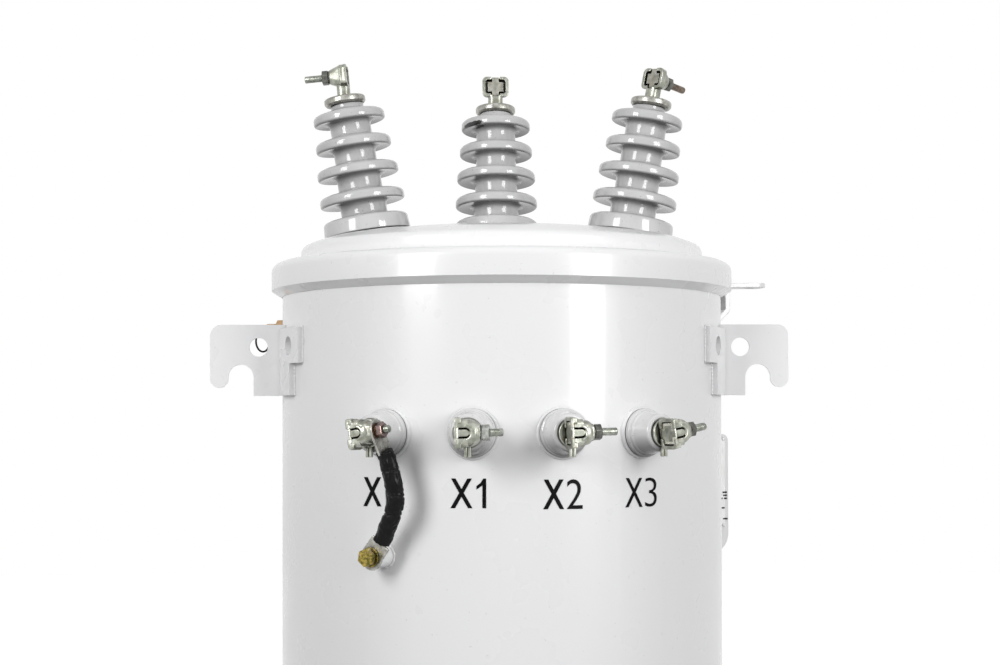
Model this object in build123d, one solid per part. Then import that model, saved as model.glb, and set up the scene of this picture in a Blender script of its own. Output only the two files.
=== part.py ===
from build123d import *
import math
import os

# Three-phase pole mounted distribution transformer, all sizes in millimetres.
# Origin: tank axis at the rim the tank stands on. +Z is up, the low-voltage row faces -Y.
# Azimuths are degrees round the tank from -Y towards +X.

# ---- tank ----
tank_diameter = 610.0
tank_height = 1034.0
wall = 3.4
rim_width = 7.0
bottom_recess = 19.0
bottom_thickness = 6.4
fit_gap = 0.3
weld_depth = 4.0
past = 400.0

# ---- cover and its clamping band, measured from the wall and from the rim of the tank ----
cover_sheet = 3.4
cover_step_inset = 25.5
cover_step_rise = 32.0
cover_step_round = 11.0
dome_rise = 62.0
dome_edge_inset = 55.0
dome_edge_drop = 19.0
dome_edge_round = 60.0
band_sheet = 3.0
band_out = 15.0
band_drop = 36.5
band_chamfer = 9.2
band_shoulder_rise = 9.0
band_round = 12.0
band_lip_rise = 12.0
band_split = 14.0
band_azimuth = 205.0
band_ear_reach = 34.0
band_ear_sheet = 8.0
band_bolt_drop = 13.0
band_bolt_out = 16.0
band_bolt_diameter = 12.7
band_bolt_flats = 19.0
band_bolt_head = 8.0
band_nut_height = 11.0
band_bolt_tail = 8.0

# ---- inner filling: core, coils and oil as one sealed mass ----
oil_drop = 129.0

# ---- high-voltage bushings ----
hv_azimuths = {"left": -96.1, "centre": 179.6, "right": 96.3}
hv_insets = {"left": 117.2, "centre": 183.0, "right": 121.0}
hv_leans = {"left": 9.2, "centre": 6.3, "right": 9.2}
hv_clamp_turns = {"left": 0.0, "centre": 0.0, "right": 31.0}
hv_clamp_tips = {"left": 4.0, "centre": 0.0, "right": -2.0}
hv_pad_radius = 64.0
hv_pad_height = 3.0
hv_gasket_radius = 59.5
hv_gasket_bore = 30.0
hv_gasket = 2.0
hv_base_radius = 61.0
hv_base_top_radius = 59.5
hv_base_height = 21.5
hv_base_round = 6.0
hv_base_edge = 1.5
hv_shed_radii = (59.7, 57.3, 53.2, 50.4)
hv_trunk_radii = (32.6, 31.0, 29.4, 28.8)
hv_first_shed = 34.5
hv_shed_pitch = 38.5
hv_shed_rim = 14.0
hv_shed_rise = 6.0
hv_shed_drip = 4.0
hv_shed_round = 6.2
hv_trunk_top_round = 8.0
hv_trunk_foot_round = 3.0
hv_neck_radius = 23.0
hv_neck_height = 13.0
hv_cap_radius = 29.0
hv_cap_height = 11.0
hv_cap_edge = 4.0
hv_cap_offset = 2.0

# ---- low-voltage bushings ----
lv_names = ("x0", "x1", "x2", "x3")
lv_spacing = 21.4
lv_drop = 224.0
lv_seat_radius = 33.0
lv_seat_height = 3.5
lv_gasket_radius = 30.0
lv_gasket_bore = 18.0
lv_gasket = 3.0
lv_base_radius = 30.8
lv_base_height = 6.0
lv_ring_step = 2.0
lv_ring_height = 11.0
lv_taper_step = 1.5
lv_nose_radius = 24.0
lv_nose_height = 5.0
lv_nose_round = 4.5
lv_length = 37.0
lv_cap_radius = 17.8
lv_cap_height = 4.5
lv_cap_edge = 1.5
lv_tab_width = 7.0
lv_tab_drop = 30.0

# ---- conductor clamps ----
clamp_width = 39.0
clamp_height = 30.0
clamp_wall = 4.6
clamp_round = 7.0
clamp_inner_round = 3.5
clamp_slot = 13.0
clamp_floor = 2.0
hv_clamp_front = 7.5
hv_clamp_back = 2.0
hv_slot_end = 3.0
hv_boss_end = 17.5
hv_boss_width = 20.5
lv_clamp_front = 11.5
lv_clamp_back = 5.0
lv_slot_end = 8.0
lv_boss_end = 22.4
lv_boss_width = 24.5
boss_round = 9.0
boss_start_inset = 3.0
post_width = 22.0
post_depth = 18.0
post_round = 8.0
hv_post_height = 15.0
lv_post_height = 3.0
jaw_thickness = 5.0
jaw_set = 1.5
jaw_gap = 2.6
tongue_gap = 1.2
shank_radius = 4.75
washer_radius = 10.0
washer_thickness = 2.5
nut_flats = 17.5
nut_height = 10.0
thread_chamfer = 1.0
hv_shank_reach = 23.0
lv_shank_reaches = (16.0, 11.5, 16.0, 16.0)
lv_clamp_turns = (8.0, 1.0, 2.0, 9.0)

# ---- ground strap, from the neutral clamp to the tank ----
strap_boss_azimuth = -33.0
strap_boss_drop = 379.0
strap_boss_radius = 14.0
strap_boss_length = 29.0
strap_radius = 9.5
strap_bend_share = 0.45
strap_bends = ((44.0, 43.5, -64.0), (39.0, 41.5, -91.0), (34.0, 27.0, -115.0))
strap_lug_thickness = 3.0
strap_lug_width = 30.0
upper_lug_length = 28.0
lower_lug_length = 24.0
upper_lug_swing = 25.0
lower_lug_swing = 38.0
strap_bolt_flats = 19.0
strap_bolt_head = 8.0
strap_bolt_turn = 20.0
strap_bolt_grip = 20.0
strap_washer_radius = 11.8
strap_washer = 2.5
strap_lead = 8.0

# ---- lifting lugs ----
lug_thickness = 8.0
lug_turn = -2.5
lug_root = 75.0
lug_flange_edge = 60.8
lug_flange_lower_edge = 66.0
lug_flange_hole = 67.05
lug_top_drop = 76.5
lug_bottom_drop = 173.0
lug_flange_drop = 6.0
lug_bend_overlap = 1.2
lug_corner = 15.0
lug_finger = 24.5
lug_finger_drop = 162.0
lug_notch = 34.5
lug_notch_drop = 130.5
lug_hole_setback = 65.5
lug_hole_drop = 107.0
lug_hole_radius = 12.7
lug_outs = {"left": 92.5, "right": 84.5}

# ---- arrester bracket ----
arrester_azimuth = 100.0
arrester_width = 38.0
arrester_thickness = 6.4
arrester_foot_drop = 149.0
arrester_low_drop = 68.0
arrester_high_drop = 48.0
arrester_top_drop = 11.0
arrester_out = 73.0
arrester_hole_radius = 7.0
arrester_hole_setback = 18.0
arrester_tab_round = 12.0
arrester_band_gap = 2.0

# ---- pressure relief valve ----
valve_azimuth = -100.0
valve_drop = 79.0
valve_flats = 27.0
valve_body_length = 15.0
valve_cap_radius = 10.5
valve_cap_length = 16.0
valve_cap_chamfer = 2.0
valve_eye_radius = 3.2
valve_eye_length = 10.0
ring_eye_out = 5.0
ring_turn = 62.0
ring_radius = 14.5
ring_wire = 1.35

# ---- nameplate and its holder ----
plate_azimuth = 112.0
plate_drop = 226.0
plate_height = 176.0
plate_thickness = 1.2
plate_margin = 4.0
plate_corner = 3.0
plate_foot_up = 34.0
holder_thickness = 3.0
holder_reach = 66.0
holder_low_round = 30.0
holder_top_round = 10.0
holder_foot_width = 25.0
holder_foot_short = 12.0

# ---- pole hangers on the back ----
hanger_spacing = 590.6
hanger_drop = 199.0
hanger_width = 150.0
hanger_tall = 130.0
hanger_sheet = 8.0
hanger_stand_off = 62.0
hanger_web_in = 10.0
hanger_flare = 22.0
hanger_slot = 21.0

# ---- ground pad near the base ----
ground_pad_azimuth = 160.0
ground_pad_height = 70.0
ground_pad_radius = 22.0
ground_pad_proud = 12.0
ground_thread_radius = 6.35

# ---- sizes that follow from the ones above ----
tank_radius = tank_diameter / 2
cover_step_radius = tank_radius - cover_step_inset
cover_step_height = tank_height + cover_step_rise
dome_height = tank_height + dome_rise
dome_edge_radius = tank_radius - dome_edge_inset
band_radius = tank_radius + band_out
band_bottom = tank_height - band_drop
band_shoulder = tank_height + band_shoulder_rise
band_lip_height = tank_height + band_lip_rise
band_bolt_height = tank_height - band_bolt_drop
oil_level = tank_height - oil_drop
lv_height = tank_height - lv_drop
strap_boss_height = tank_height - strap_boss_drop
lug_hole_height = tank_height - lug_hole_drop
valve_height = tank_height - valve_drop
plate_top = tank_height - plate_drop
hanger_upper_height = tank_height - hanger_drop
on_base = (Align.CENTER, Align.CENTER, Align.MIN)
parts_folder = "parts"


def outward(azimuth):
    """Unit vector that points away from the tank axis."""
    angle = math.radians(azimuth)
    return Vector(math.sin(angle), -math.cos(angle), 0)


def wall_frame(azimuth, height):
    """Frame on the tank axis: X runs outward, Y to the right as seen from outside, Z up."""
    return Pos(0, 0, height) * Rot(0, 0, azimuth - 90)


def nearest_corner(face, x, z):
    """The corner of a face in the XZ plane that lies nearest to a point."""
    return min(face.vertices(), key=lambda v: (v.X - x) ** 2 + (v.Z - z) ** 2)


def spin(profile_points, rounds=()):
    """Solid of revolution round Z from (radius, height) points, with some corners rounded."""
    outline = Polyline([(r, 0, z) for r, z in profile_points], close=True)
    face = Face(Wire(outline.edges()))
    for (r, z), radius in rounds:
        face = face.fillet_2d(radius, [nearest_corner(face, r, z)])
    return revolve(face, Axis.Z)


def hexagon(flats, height):
    """Hex prism standing on Z = 0, sized across its flats."""
    return extrude(RegularPolygon(flats / 2, 6, major_radius=False), height)


def ring_sector(inner, outer, low, high, start, stop):
    """Piece of a tube between two azimuths."""
    span = stop - start
    section = Rot(0, 0, start - 90) * make_face(
        Polyline([(inner, 0, low), (outer, 0, low), (outer, 0, high), (inner, 0, high)], close=True)
    )
    return revolve(section, Axis.Z, span)


# ---------------------------------------------------------------- tank

def lv_azimuths():
    """The four low-voltage bushings, evenly spread about the front."""
    first = -lv_spacing * (len(lv_names) - 1) / 2
    return [first + lv_spacing * n for n in range(len(lv_names))]


def tank_shell():
    """Rolled wall with its turned-out rim, and the pressed seats of the low-voltage bushings."""
    inner = tank_radius - wall
    rim = tank_radius + rim_width
    shell = spin([
        (inner, 0), (tank_radius, 0), (tank_radius, tank_height - wall),
        (rim, tank_height - wall), (rim, tank_height), (inner, tank_height),
    ])
    for azimuth in lv_azimuths():
        seat = lv_frame(azimuth, -3 * wall) * Cylinder(
            lv_seat_radius, 3 * wall + lv_seat_height, align=on_base)
        recess = lv_frame(azimuth, lv_seat_height - lv_gasket) * Cylinder(
            lv_gasket_radius + fit_gap, lv_length, align=on_base)
        bore = Cylinder(inner, tank_height, align=on_base)
        shell = shell + (seat - bore) - recess
    return shell


def tank_bottom():
    """Flat bottom welded inside the wall, above the rim that the tank stands on."""
    return Pos(0, 0, bottom_recess) * Cylinder(
        tank_radius - wall - fit_gap, bottom_thickness, align=on_base)


def core_and_oil():
    """Core, coils and oil as one mass that fills the tank up to the oil level."""
    foot = bottom_recess + bottom_thickness
    return Pos(0, 0, foot) * Cylinder(
        tank_radius - wall - fit_gap, oil_level - foot, align=on_base)


def dome_radius():
    """Radius of the sphere that the domed top is pressed to."""
    return (dome_edge_radius ** 2 + dome_edge_drop ** 2) / (2 * dome_edge_drop)


def dome_z(rho):
    """Height of the outer face of the dome at a distance from the axis."""
    sphere = dome_radius()
    return dome_height - sphere + math.sqrt(sphere ** 2 - rho ** 2)


def cover():
    """Pressed cover: dome, rounded step and the flange that the band clamps on the tank rim."""
    sphere = dome_radius()
    edge_z = dome_z(dome_edge_radius)
    flange_top = tank_height + cover_sheet
    rim = tank_radius + rim_width
    inner_step = cover_step_radius - cover_sheet
    top_mid = dome_edge_radius / 2
    outer_dome = ThreePointArc(
        (0, 0, dome_height), (top_mid, 0, dome_z(top_mid)), (dome_edge_radius, 0, edge_z))
    inner_sphere = sphere - cover_sheet
    inner_edge = dome_edge_radius - cover_sheet
    def inner_z(rho):
        return dome_height - sphere + math.sqrt(inner_sphere ** 2 - rho ** 2)
    inner_dome = ThreePointArc(
        (inner_edge, 0, inner_z(inner_edge)), (top_mid, 0, inner_z(top_mid)), (0, 0, inner_z(0)))
    edges = [
        outer_dome,
        Line((dome_edge_radius, 0, edge_z), (cover_step_radius, 0, cover_step_height)),
        Line((cover_step_radius, 0, cover_step_height), (cover_step_radius, 0, flange_top)),
        Line((cover_step_radius, 0, flange_top), (rim, 0, flange_top)),
        Line((rim, 0, flange_top), (rim, 0, tank_height)),
        Line((rim, 0, tank_height), (inner_step, 0, tank_height)),
        Line((inner_step, 0, tank_height), (inner_step, 0, cover_step_height - cover_sheet)),
        Line((inner_step, 0, cover_step_height - cover_sheet), (inner_edge, 0, inner_z(inner_edge))),
        inner_dome,
        Line((0, 0, inner_z(0)), (0, 0, dome_height)),
    ]
    face = Face(Wire([e.edge() for e in edges]))
    for r, z, radius in (
        (cover_step_radius, cover_step_height, cover_step_round),
        (inner_step, cover_step_height - cover_sheet, cover_step_round - cover_sheet),
        (dome_edge_radius, edge_z, dome_edge_round),
    ):
        face = face.fillet_2d(radius, [nearest_corner(face, r, z)])
    shell = revolve(face, Axis.Z)
    for side in hv_azimuths:
        pad = hv_frame(side, -hv_pad_height - 3 * cover_sheet) * Cylinder(
            hv_pad_radius, hv_pad_height + 3 * cover_sheet, align=on_base)
        below = Pos(0, 0, dome_height - sphere) * Sphere(inner_sphere)
        shell = shell + (pad - below)
    return shell


def cover_band():
    """Rolled clamp ring that hooks over the tank rim, split at its bolted ears."""
    skirt_in = tank_radius + fit_gap
    lip_in = cover_step_radius + fit_gap
    slope = (band_lip_height - band_shoulder) / (band_radius - cover_step_radius)
    face_in = band_radius - band_sheet
    shoulder_in = band_shoulder - band_sheet + slope * band_sheet
    chamfer_in = band_sheet * (math.sqrt(2) - 1)
    ring = spin(
        [(skirt_in, band_bottom), (band_radius, band_bottom + band_chamfer),
         (band_radius, band_shoulder), (lip_in, band_lip_height),
         (lip_in, band_lip_height - band_sheet), (face_in, shoulder_in),
         (face_in, band_bottom + band_chamfer + chamfer_in),
         (skirt_in, band_bottom + band_sheet + fit_gap)],
        rounds=[((band_radius, band_shoulder), band_round),
                ((face_in, shoulder_in), band_round - band_sheet)],
    )
    split = wall_frame(band_azimuth, band_bolt_height) * Pos(band_radius, 0, 0) * Box(
        band_radius - lip_in + band_ear_reach, band_split, past)
    ring = ring - split
    for side in (-1, 1):
        ear_y = side * (band_split + band_ear_sheet) / 2
        ear = wall_frame(band_azimuth, band_bolt_height) * Pos(face_in, ear_y, 0) * Box(
            band_ear_reach, band_ear_sheet, band_ear_reach, align=(Align.MIN, Align.CENTER, Align.CENTER))
        ring = ring + ear
    hole = band_bolt_frame() * Cylinder(band_bolt_diameter / 2 + fit_gap, 4 * band_split)
    return ring - hole


def band_bolt_frame():
    """Frame on the middle of the band bolt, Z along the bolt."""
    return wall_frame(band_azimuth, band_bolt_height) * Pos(
        band_radius + band_bolt_out, 0, 0) * Rot(90, 0, 0)


def band_bolt():
    """Hex bolt and nut that draw the ears of the band together."""
    grip = band_split / 2 + band_ear_sheet
    foot = -grip - band_nut_height - band_bolt_tail
    shank = Pos(0, 0, foot) * Cylinder(band_bolt_diameter / 2, grip - foot, align=on_base)
    head = Pos(0, 0, grip) * hexagon(band_bolt_flats, band_bolt_head)
    nut = Pos(0, 0, -grip - band_nut_height) * hexagon(band_bolt_flats, band_nut_height)
    return band_bolt_frame() * (shank + head + nut)


# ---------------------------------------------------------------- bushings

def hv_frame(side, lift=0.0):
    """Frame on a cover pad: Z along the bushing, X outward."""
    away = outward(hv_azimuths[side])
    rho = tank_radius - hv_insets[side]
    lean = math.radians(hv_leans[side])
    axis = away * math.sin(lean) + Vector(0, 0, 1) * math.cos(lean)
    level = away * math.cos(lean) - Vector(0, 0, 1) * math.sin(lean)
    seat = away * rho + Vector(0, 0, dome_z(rho) + hv_pad_height)
    return Plane(origin=seat + axis * lift, x_dir=level, z_dir=axis).location


def lv_frame(azimuth, lift=0.0):
    """Frame on the tank wall: Z straight out, X to the right, Y up."""
    away = outward(azimuth)
    right = Vector(math.cos(math.radians(azimuth)), math.sin(math.radians(azimuth)), 0)
    origin = away * (tank_radius + lift) + Vector(0, 0, lv_height)
    return Plane(origin=origin, x_dir=right, z_dir=away).location


def washer(outer, inner, thickness):
    """Flat ring standing on Z = 0."""
    return Cylinder(outer, thickness, align=on_base) - Cylinder(inner, thickness, align=on_base)


def hv_neck_top():
    """Height of the porcelain above its gasket."""
    top_shed = hv_base_height + hv_first_shed + hv_shed_pitch * (len(hv_shed_radii) - 1)
    return top_shed + hv_neck_height


def hv_bushing():
    """Glazed porcelain: cup base, four round-edged sheds and a neck."""
    points = [(0, 0), (hv_base_radius, 0), (hv_base_top_radius, hv_base_height)]
    rounds = [((hv_base_radius, 0), hv_base_edge), ((hv_base_top_radius, hv_base_height), hv_base_round)]
    foot = hv_base_height + hv_shed_drip
    top = hv_base_height + hv_first_shed
    for rim, trunk in zip(hv_shed_radii, hv_trunk_radii):
        bottom = top - hv_shed_rim
        throat = bottom + hv_shed_drip
        points += [(trunk, foot), (trunk, throat), (rim, bottom), (rim, top)]
        rounds += [
            ((trunk, foot), hv_trunk_foot_round), ((trunk, throat), hv_trunk_top_round),
            ((rim, bottom), hv_shed_round), ((rim, top), hv_shed_round),
        ]
        foot = top + hv_shed_rise
        top += hv_shed_pitch
    points += [(hv_neck_radius, foot), (hv_neck_radius, hv_neck_top()), (0, hv_neck_top())]
    return spin(points, rounds)


def hv_cap():
    """Round-edged metal disc on the porcelain."""
    return spin(
        [(0, 0), (hv_cap_radius, 0), (hv_cap_radius, hv_cap_height), (0, hv_cap_height)],
        rounds=[((hv_cap_radius, 0), hv_cap_edge), ((hv_cap_radius, hv_cap_height), hv_cap_edge)],
    )


def lv_bushing():
    """Short porcelain body: stepped base, taper and rounded nose."""
    ring = lv_base_radius - lv_ring_step
    taper = ring - lv_taper_step
    return spin(
        [(0, 0), (lv_base_radius, 0), (lv_base_radius, lv_base_height),
         (ring, lv_base_height + lv_taper_step), (ring, lv_ring_height),
         (taper, lv_ring_height + lv_ring_step), (lv_nose_radius, lv_length - lv_nose_height),
         (lv_nose_radius, lv_length), (0, lv_length)],
        rounds=[((lv_base_radius, lv_base_height), lv_taper_step),
                ((lv_nose_radius, lv_length), lv_nose_round)],
    )


def lv_cap():
    """Metal disc on the nose of the porcelain, with its locking tab."""
    disc = spin(
        [(0, 0), (lv_cap_radius, 0), (lv_cap_radius, lv_cap_height), (0, lv_cap_height)],
        rounds=[((lv_cap_radius, lv_cap_height), lv_cap_edge)],
    )
    tab = Pos(0, -lv_tab_drop, 0) * Box(
        lv_tab_width, lv_tab_drop, lv_cap_height, align=(Align.CENTER, Align.MIN, Align.MIN))
    return disc + tab


# ---------------------------------------------------------------- conductor clamps

def clamp_section(x, width, height, corner):
    """Rounded section across the screw axis."""
    return Plane(origin=(x, 0, 0), x_dir=(0, 1, 0), z_dir=(1, 0, 0)) * RectangleRounded(width, height, corner)


def round_ended_bar(front, end, width):
    """Bar through the clamp along its screw axis, with one round end: the slot, and what slides in it."""
    half = width / 2
    bar = Pos(-front, 0, 0) * Box(
        front + end - half, width, clamp_height, align=(Align.MIN, Align.CENTER, Align.CENTER))
    return bar + Pos(end - half, 0, 0) * Cylinder(half, clamp_height)


def clamp_body(front, back, slot_end, boss_end, boss_width, post_height):
    """Casting with an open mouth, a slot above and below it, a boss for the screw, and its post.

    X is the screw axis, Z the axis of the bushing, and the middle of the mouth is the origin.
    """
    mouth = extrude(clamp_section(-front, clamp_width, clamp_height, clamp_round), front + back)
    boss = loft([
        clamp_section(back, clamp_width - 2 * boss_start_inset, clamp_height, clamp_round),
        clamp_section(boss_end, boss_width, boss_width, boss_round),
    ], ruled=True)
    inside = clamp_section(
        -front, clamp_width - 2 * clamp_wall, clamp_height - 2 * clamp_wall, clamp_inner_round)
    hollow = extrude(inside, front + back - clamp_floor)
    post_low = -clamp_height / 2 - post_height
    post = Pos(0, 0, post_low - hv_cap_edge) * extrude(
        RectangleRounded(post_depth, post_width, post_round), post_height + hv_cap_edge + clamp_wall / 2)
    slot = round_ended_bar(front, slot_end, clamp_slot)
    bore = Rot(0, 90, 0) * Cylinder(shank_radius + fit_gap, 2 * boss_end, align=on_base)
    return mouth + boss - hollow + post - slot - bore


def clamp_jaw(front, slot_end):
    """Pressure plate in the mouth, with a tongue in the upper and in the lower slot."""
    width = clamp_width - 2 * clamp_wall - 2 * jaw_gap
    height = clamp_height - 2 * clamp_wall - 2 * jaw_gap
    behind = (Align.MIN, Align.CENTER, Align.CENTER)
    start = Pos(jaw_set - front, 0, 0)
    plate = start * Box(jaw_thickness, width, height, align=behind)
    reach = start * Box(front + slot_end, clamp_slot, clamp_height, align=behind)
    tongues = reach & round_ended_bar(front, slot_end - tongue_gap, clamp_slot - 2 * tongue_gap)
    space = start * Pos(jaw_thickness, 0, 0) * Box(front + slot_end, clamp_slot, height, align=behind)
    return plate + (tongues - space)


def clamp_screw(front, boss_end, reach, extra_gap=0.0):
    """Screw with its washer and hex nut, from the jaw out past the nut."""
    face = boss_end + extra_gap
    start = jaw_set + jaw_thickness - front
    end = face + washer_thickness + nut_height + reach
    shank = Cylinder(shank_radius, end - start, align=on_base)
    shank = Pos(0, 0, start) * chamfer(shank.faces().sort_by(Axis.Z)[-1].edges(), thread_chamfer)
    disc = Pos(0, 0, face) * Cylinder(washer_radius, washer_thickness, align=on_base)
    nut = Pos(0, 0, face + washer_thickness) * hexagon(nut_flats, nut_height)
    return Rot(0, 90, 0) * (shank + disc + nut)


def hv_cap_place(side):
    """Frame of a cap on its bushing, a little out of the middle."""
    return hv_frame(side, hv_gasket + hv_neck_top()) * Pos(hv_cap_offset, 0, 0)


def hv_clamp_place(side):
    """Frame of a high-voltage clamp: X along its screw, Z along the bushing."""
    disc_top = hv_cap_place(side) * Pos(0, 0, hv_cap_height)
    return disc_top * Rot(0, -hv_clamp_tips[side], hv_clamp_turns[side]) * Pos(
        0, 0, hv_post_height + clamp_height / 2)


def lv_clamp_place(index):
    """Frame of a low-voltage clamp: X along its screw, Z straight out from the wall."""
    lift = lv_seat_height + lv_length + lv_cap_height + lv_post_height + clamp_height / 2
    return lv_frame(lv_azimuths()[index], lift) * Rot(0, 0, lv_clamp_turns[index])


# ---------------------------------------------------------------- ground strap

def strap_lug(length, hole_radius):
    """Flat tinned lug in the XZ plane, hole at the origin, running down to -length."""
    tongue = Box(strap_lug_width, strap_lug_thickness, length, align=(Align.CENTER, Align.CENTER, Align.MAX))
    eye = Rot(90, 0, 0) * Cylinder(strap_lug_width / 2, strap_lug_thickness)
    hole = Rot(90, 0, 0) * Cylinder(hole_radius, 2 * strap_lug_thickness)
    return tongue + eye - hole


def neutral_frame():
    """Wall frame through the ground boss below the neutral bushing."""
    return wall_frame(strap_boss_azimuth, 0)


def upper_lug_place():
    """Upper strap lug: between the clamp boss and the washer, swung down and in to the wall."""
    face = lv_boss_end + strap_lug_thickness / 2
    swing = math.radians(upper_lug_swing)
    seat = Plane(
        origin=(face, 0, 0),
        x_dir=(0, -math.sin(swing), math.cos(swing)),
        z_dir=(0, math.cos(swing), math.sin(swing)),
    )
    return lv_clamp_place(0) * seat.location


def lower_lug_place():
    """Lower strap lug: flat on the outer face of the ground boss, swung up and to the right."""
    face = tank_radius + strap_boss_length + strap_lug_thickness / 2
    swing = math.radians(lower_lug_swing)
    seat = Plane(
        origin=(face, 0, strap_boss_height),
        x_dir=(0, math.cos(swing), -math.sin(swing)),
        z_dir=(0, -math.sin(swing), -math.cos(swing)),
    )
    return neutral_frame() * seat.location


def strap():
    """Braided strap in its sleeve, from lug to lug, held at both ends."""
    places = ((upper_lug_place(), upper_lug_length), (lower_lug_place(), lower_lug_length))
    start, end = [(place * Pos(0, 0, -length - fit_gap)).position for place, length in places]
    after, before = [
        (place * Pos(0, 0, -length - fit_gap - strap_lead)).position for place, length in places]
    to_world = neutral_frame() * Pos(tank_radius, 0, lv_height)
    middle = [(to_world * Pos(*bend)).position for bend in strap_bends]
    points = [start, after] + middle + [before, end]
    runs = [(b - a).length for a, b in zip(points, points[1:])]
    radii = []
    for n in range(1, len(points) - 1):
        turn = math.radians((points[n] - points[n - 1]).get_angle(points[n + 1] - points[n]))
        radii.append(strap_bend_share * min(runs[n - 1], runs[n]) / math.tan(turn / 2))
    path = FilletPolyline(*points, radius=radii)
    section = Plane(origin=points[0], z_dir=points[1] - points[0]) * Circle(strap_radius)
    print("strap: bend radii", [round(r) for r in radii], "length", round(path.length))
    return sweep(section, path=path)


def outside_of_tank():
    """The tank as a solid drum, to trim what is welded to the wall."""
    return Cylinder(tank_radius + fit_gap, 2 * tank_height + past)


def ground_boss():
    """Round boss welded to the tank wall for the strap bolt."""
    wall_face = neutral_frame() * Pos(tank_radius, 0, strap_boss_height) * Rot(0, 90, 0)
    boss = wall_face * Pos(0, 0, -weld_depth) * Cylinder(
        strap_boss_radius, strap_boss_length + weld_depth, align=on_base)
    thread = wall_face * Pos(0, 0, weld_depth) * Cylinder(
        ground_thread_radius, strap_boss_length, align=on_base)
    return boss - outside_of_tank() - thread


def ground_bolt():
    """Hex bolt and washer that hold the lower lug on the boss."""
    face = tank_radius + strap_boss_length + strap_lug_thickness
    lug_face = neutral_frame() * Pos(face, 0, strap_boss_height) * Rot(0, 90, 0)
    disc = Cylinder(strap_washer_radius, strap_washer, align=on_base)
    head = Pos(0, 0, strap_washer) * Rot(0, 0, strap_bolt_turn) * hexagon(strap_bolt_flats, strap_bolt_head)
    shank = Pos(0, 0, -strap_bolt_grip) * Cylinder(
        ground_thread_radius - fit_gap, strap_bolt_grip + strap_washer, align=on_base)
    return lug_face * (disc + head + shank)


# ---------------------------------------------------------------- lifting lugs

def lifting_lug(side):
    """Bent plate: flange on the wall, and a hook plate with its sling hole, standing straight out."""
    sign = 1 if side == "right" else -1
    reach = tank_radius + lug_outs[side]
    top = tank_height - lug_top_drop
    bottom = tank_height - lug_bottom_drop
    notch_top = tank_height - lug_notch_drop
    finger_tip = tank_height - lug_finger_drop
    inside = tank_radius * math.sin(math.radians(lug_root)) - lug_thickness
    notch_out = reach - lug_finger
    notch_in = notch_out - lug_notch
    notch_mid = (notch_out + notch_in) / 2
    notch_spring = notch_top - lug_notch / 2
    finger_spring = finger_tip + lug_finger / 2
    back = -tank_radius * math.cos(math.radians(lug_root))
    face = Face(Wire([
        Line((inside, back, bottom), (notch_in, back, bottom)).edge(),
        Line((notch_in, back, bottom), (notch_in, back, notch_spring)).edge(),
        ThreePointArc((notch_in, back, notch_spring), (notch_mid, back, notch_top),
                      (notch_out, back, notch_spring)).edge(),
        Line((notch_out, back, notch_spring), (notch_out, back, finger_spring)).edge(),
        ThreePointArc((notch_out, back, finger_spring), (reach - lug_finger / 2, back, finger_tip),
                      (reach, back, finger_spring)).edge(),
        Line((reach, back, finger_spring), (reach, back, top)).edge(),
        Line((reach, back, top), (inside, back, top)).edge(),
        Line((inside, back, top), (inside, back, bottom)).edge(),
    ]))
    face = face.fillet_2d(lug_corner, [nearest_corner(face, reach, top)])
    plate = extrude(face, amount=lug_thickness, dir=(0, 1, 0))
    hole = Pos(reach - lug_hole_setback, back, lug_hole_height) * Rot(90, 0, 0) * Cylinder(
        lug_hole_radius, 4 * lug_thickness)
    inner = tank_radius + fit_gap
    outer = inner + lug_thickness
    ledge = notch_top
    bend = lug_root + lug_bend_overlap
    flange = ring_sector(inner, outer, ledge, top - lug_flange_drop, lug_flange_edge, bend)
    lower = ring_sector(inner, outer, bottom, ledge, lug_flange_lower_edge, bend)
    flange_hole = wall_frame(lug_flange_hole, lug_hole_height) * Rot(0, 90, 0) * Cylinder(
        lug_hole_radius, past, align=on_base)
    lug = (plate - hole - outside_of_tank()) + flange + lower - flange_hole
    if sign < 0:
        lug = mirror(lug, about=Plane.YZ)
    return Rot(0, 0, lug_turn) * lug


# ---------------------------------------------------------------- brackets and fittings

def arrester_bracket():
    """Flat bar welded to the wall, jogged out past the band, with a level tab on top."""
    inner = tank_radius + fit_gap
    clear = band_radius + arrester_band_gap
    reach = tank_radius + arrester_out
    sheet = arrester_thickness
    foot, low, high, top = [
        tank_height - drop
        for drop in (arrester_foot_drop, arrester_low_drop, arrester_high_drop, arrester_top_drop)]
    knee = sheet * (high - low) / (clear - inner + sheet) / 2
    outline = [
        (inner, foot), (inner, low), (clear, high), (clear, top), (reach, top),
        (reach, top - sheet), (clear + sheet, top - sheet), (clear + sheet, high - knee),
        (inner + sheet, low - knee), (inner + sheet, foot),
    ]
    side = Face(Wire(Polyline([(x, 0, z) for x, z in outline], close=True).edges()))
    bar = extrude(side, amount=arrester_width / 2, dir=(0, 1, 0), both=True)
    tips = bar.edges().filter_by(Axis.Z).sort_by(Axis.X)[-2:]
    bar = fillet(tips, arrester_tab_round)
    hole = Pos(reach - arrester_hole_setback, 0, top) * Cylinder(arrester_hole_radius, 4 * sheet)
    bar = wall_frame(arrester_azimuth, 0) * (bar - hole)
    return bar - outside_of_tank()


def ring_place():
    """Frame of the pull ring: it hangs from the eye at the end of the valve stem."""
    eye = tank_radius + valve_body_length + valve_cap_length + ring_eye_out
    return wall_frame(valve_azimuth, valve_height) * Pos(eye, 0, -ring_radius) * Rot(0, 0, ring_turn)


def pull_ring(wire):
    """Wire ring standing in a vertical plane."""
    return ring_place() * Rot(90, 0, 0) * Torus(ring_radius, wire)


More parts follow.
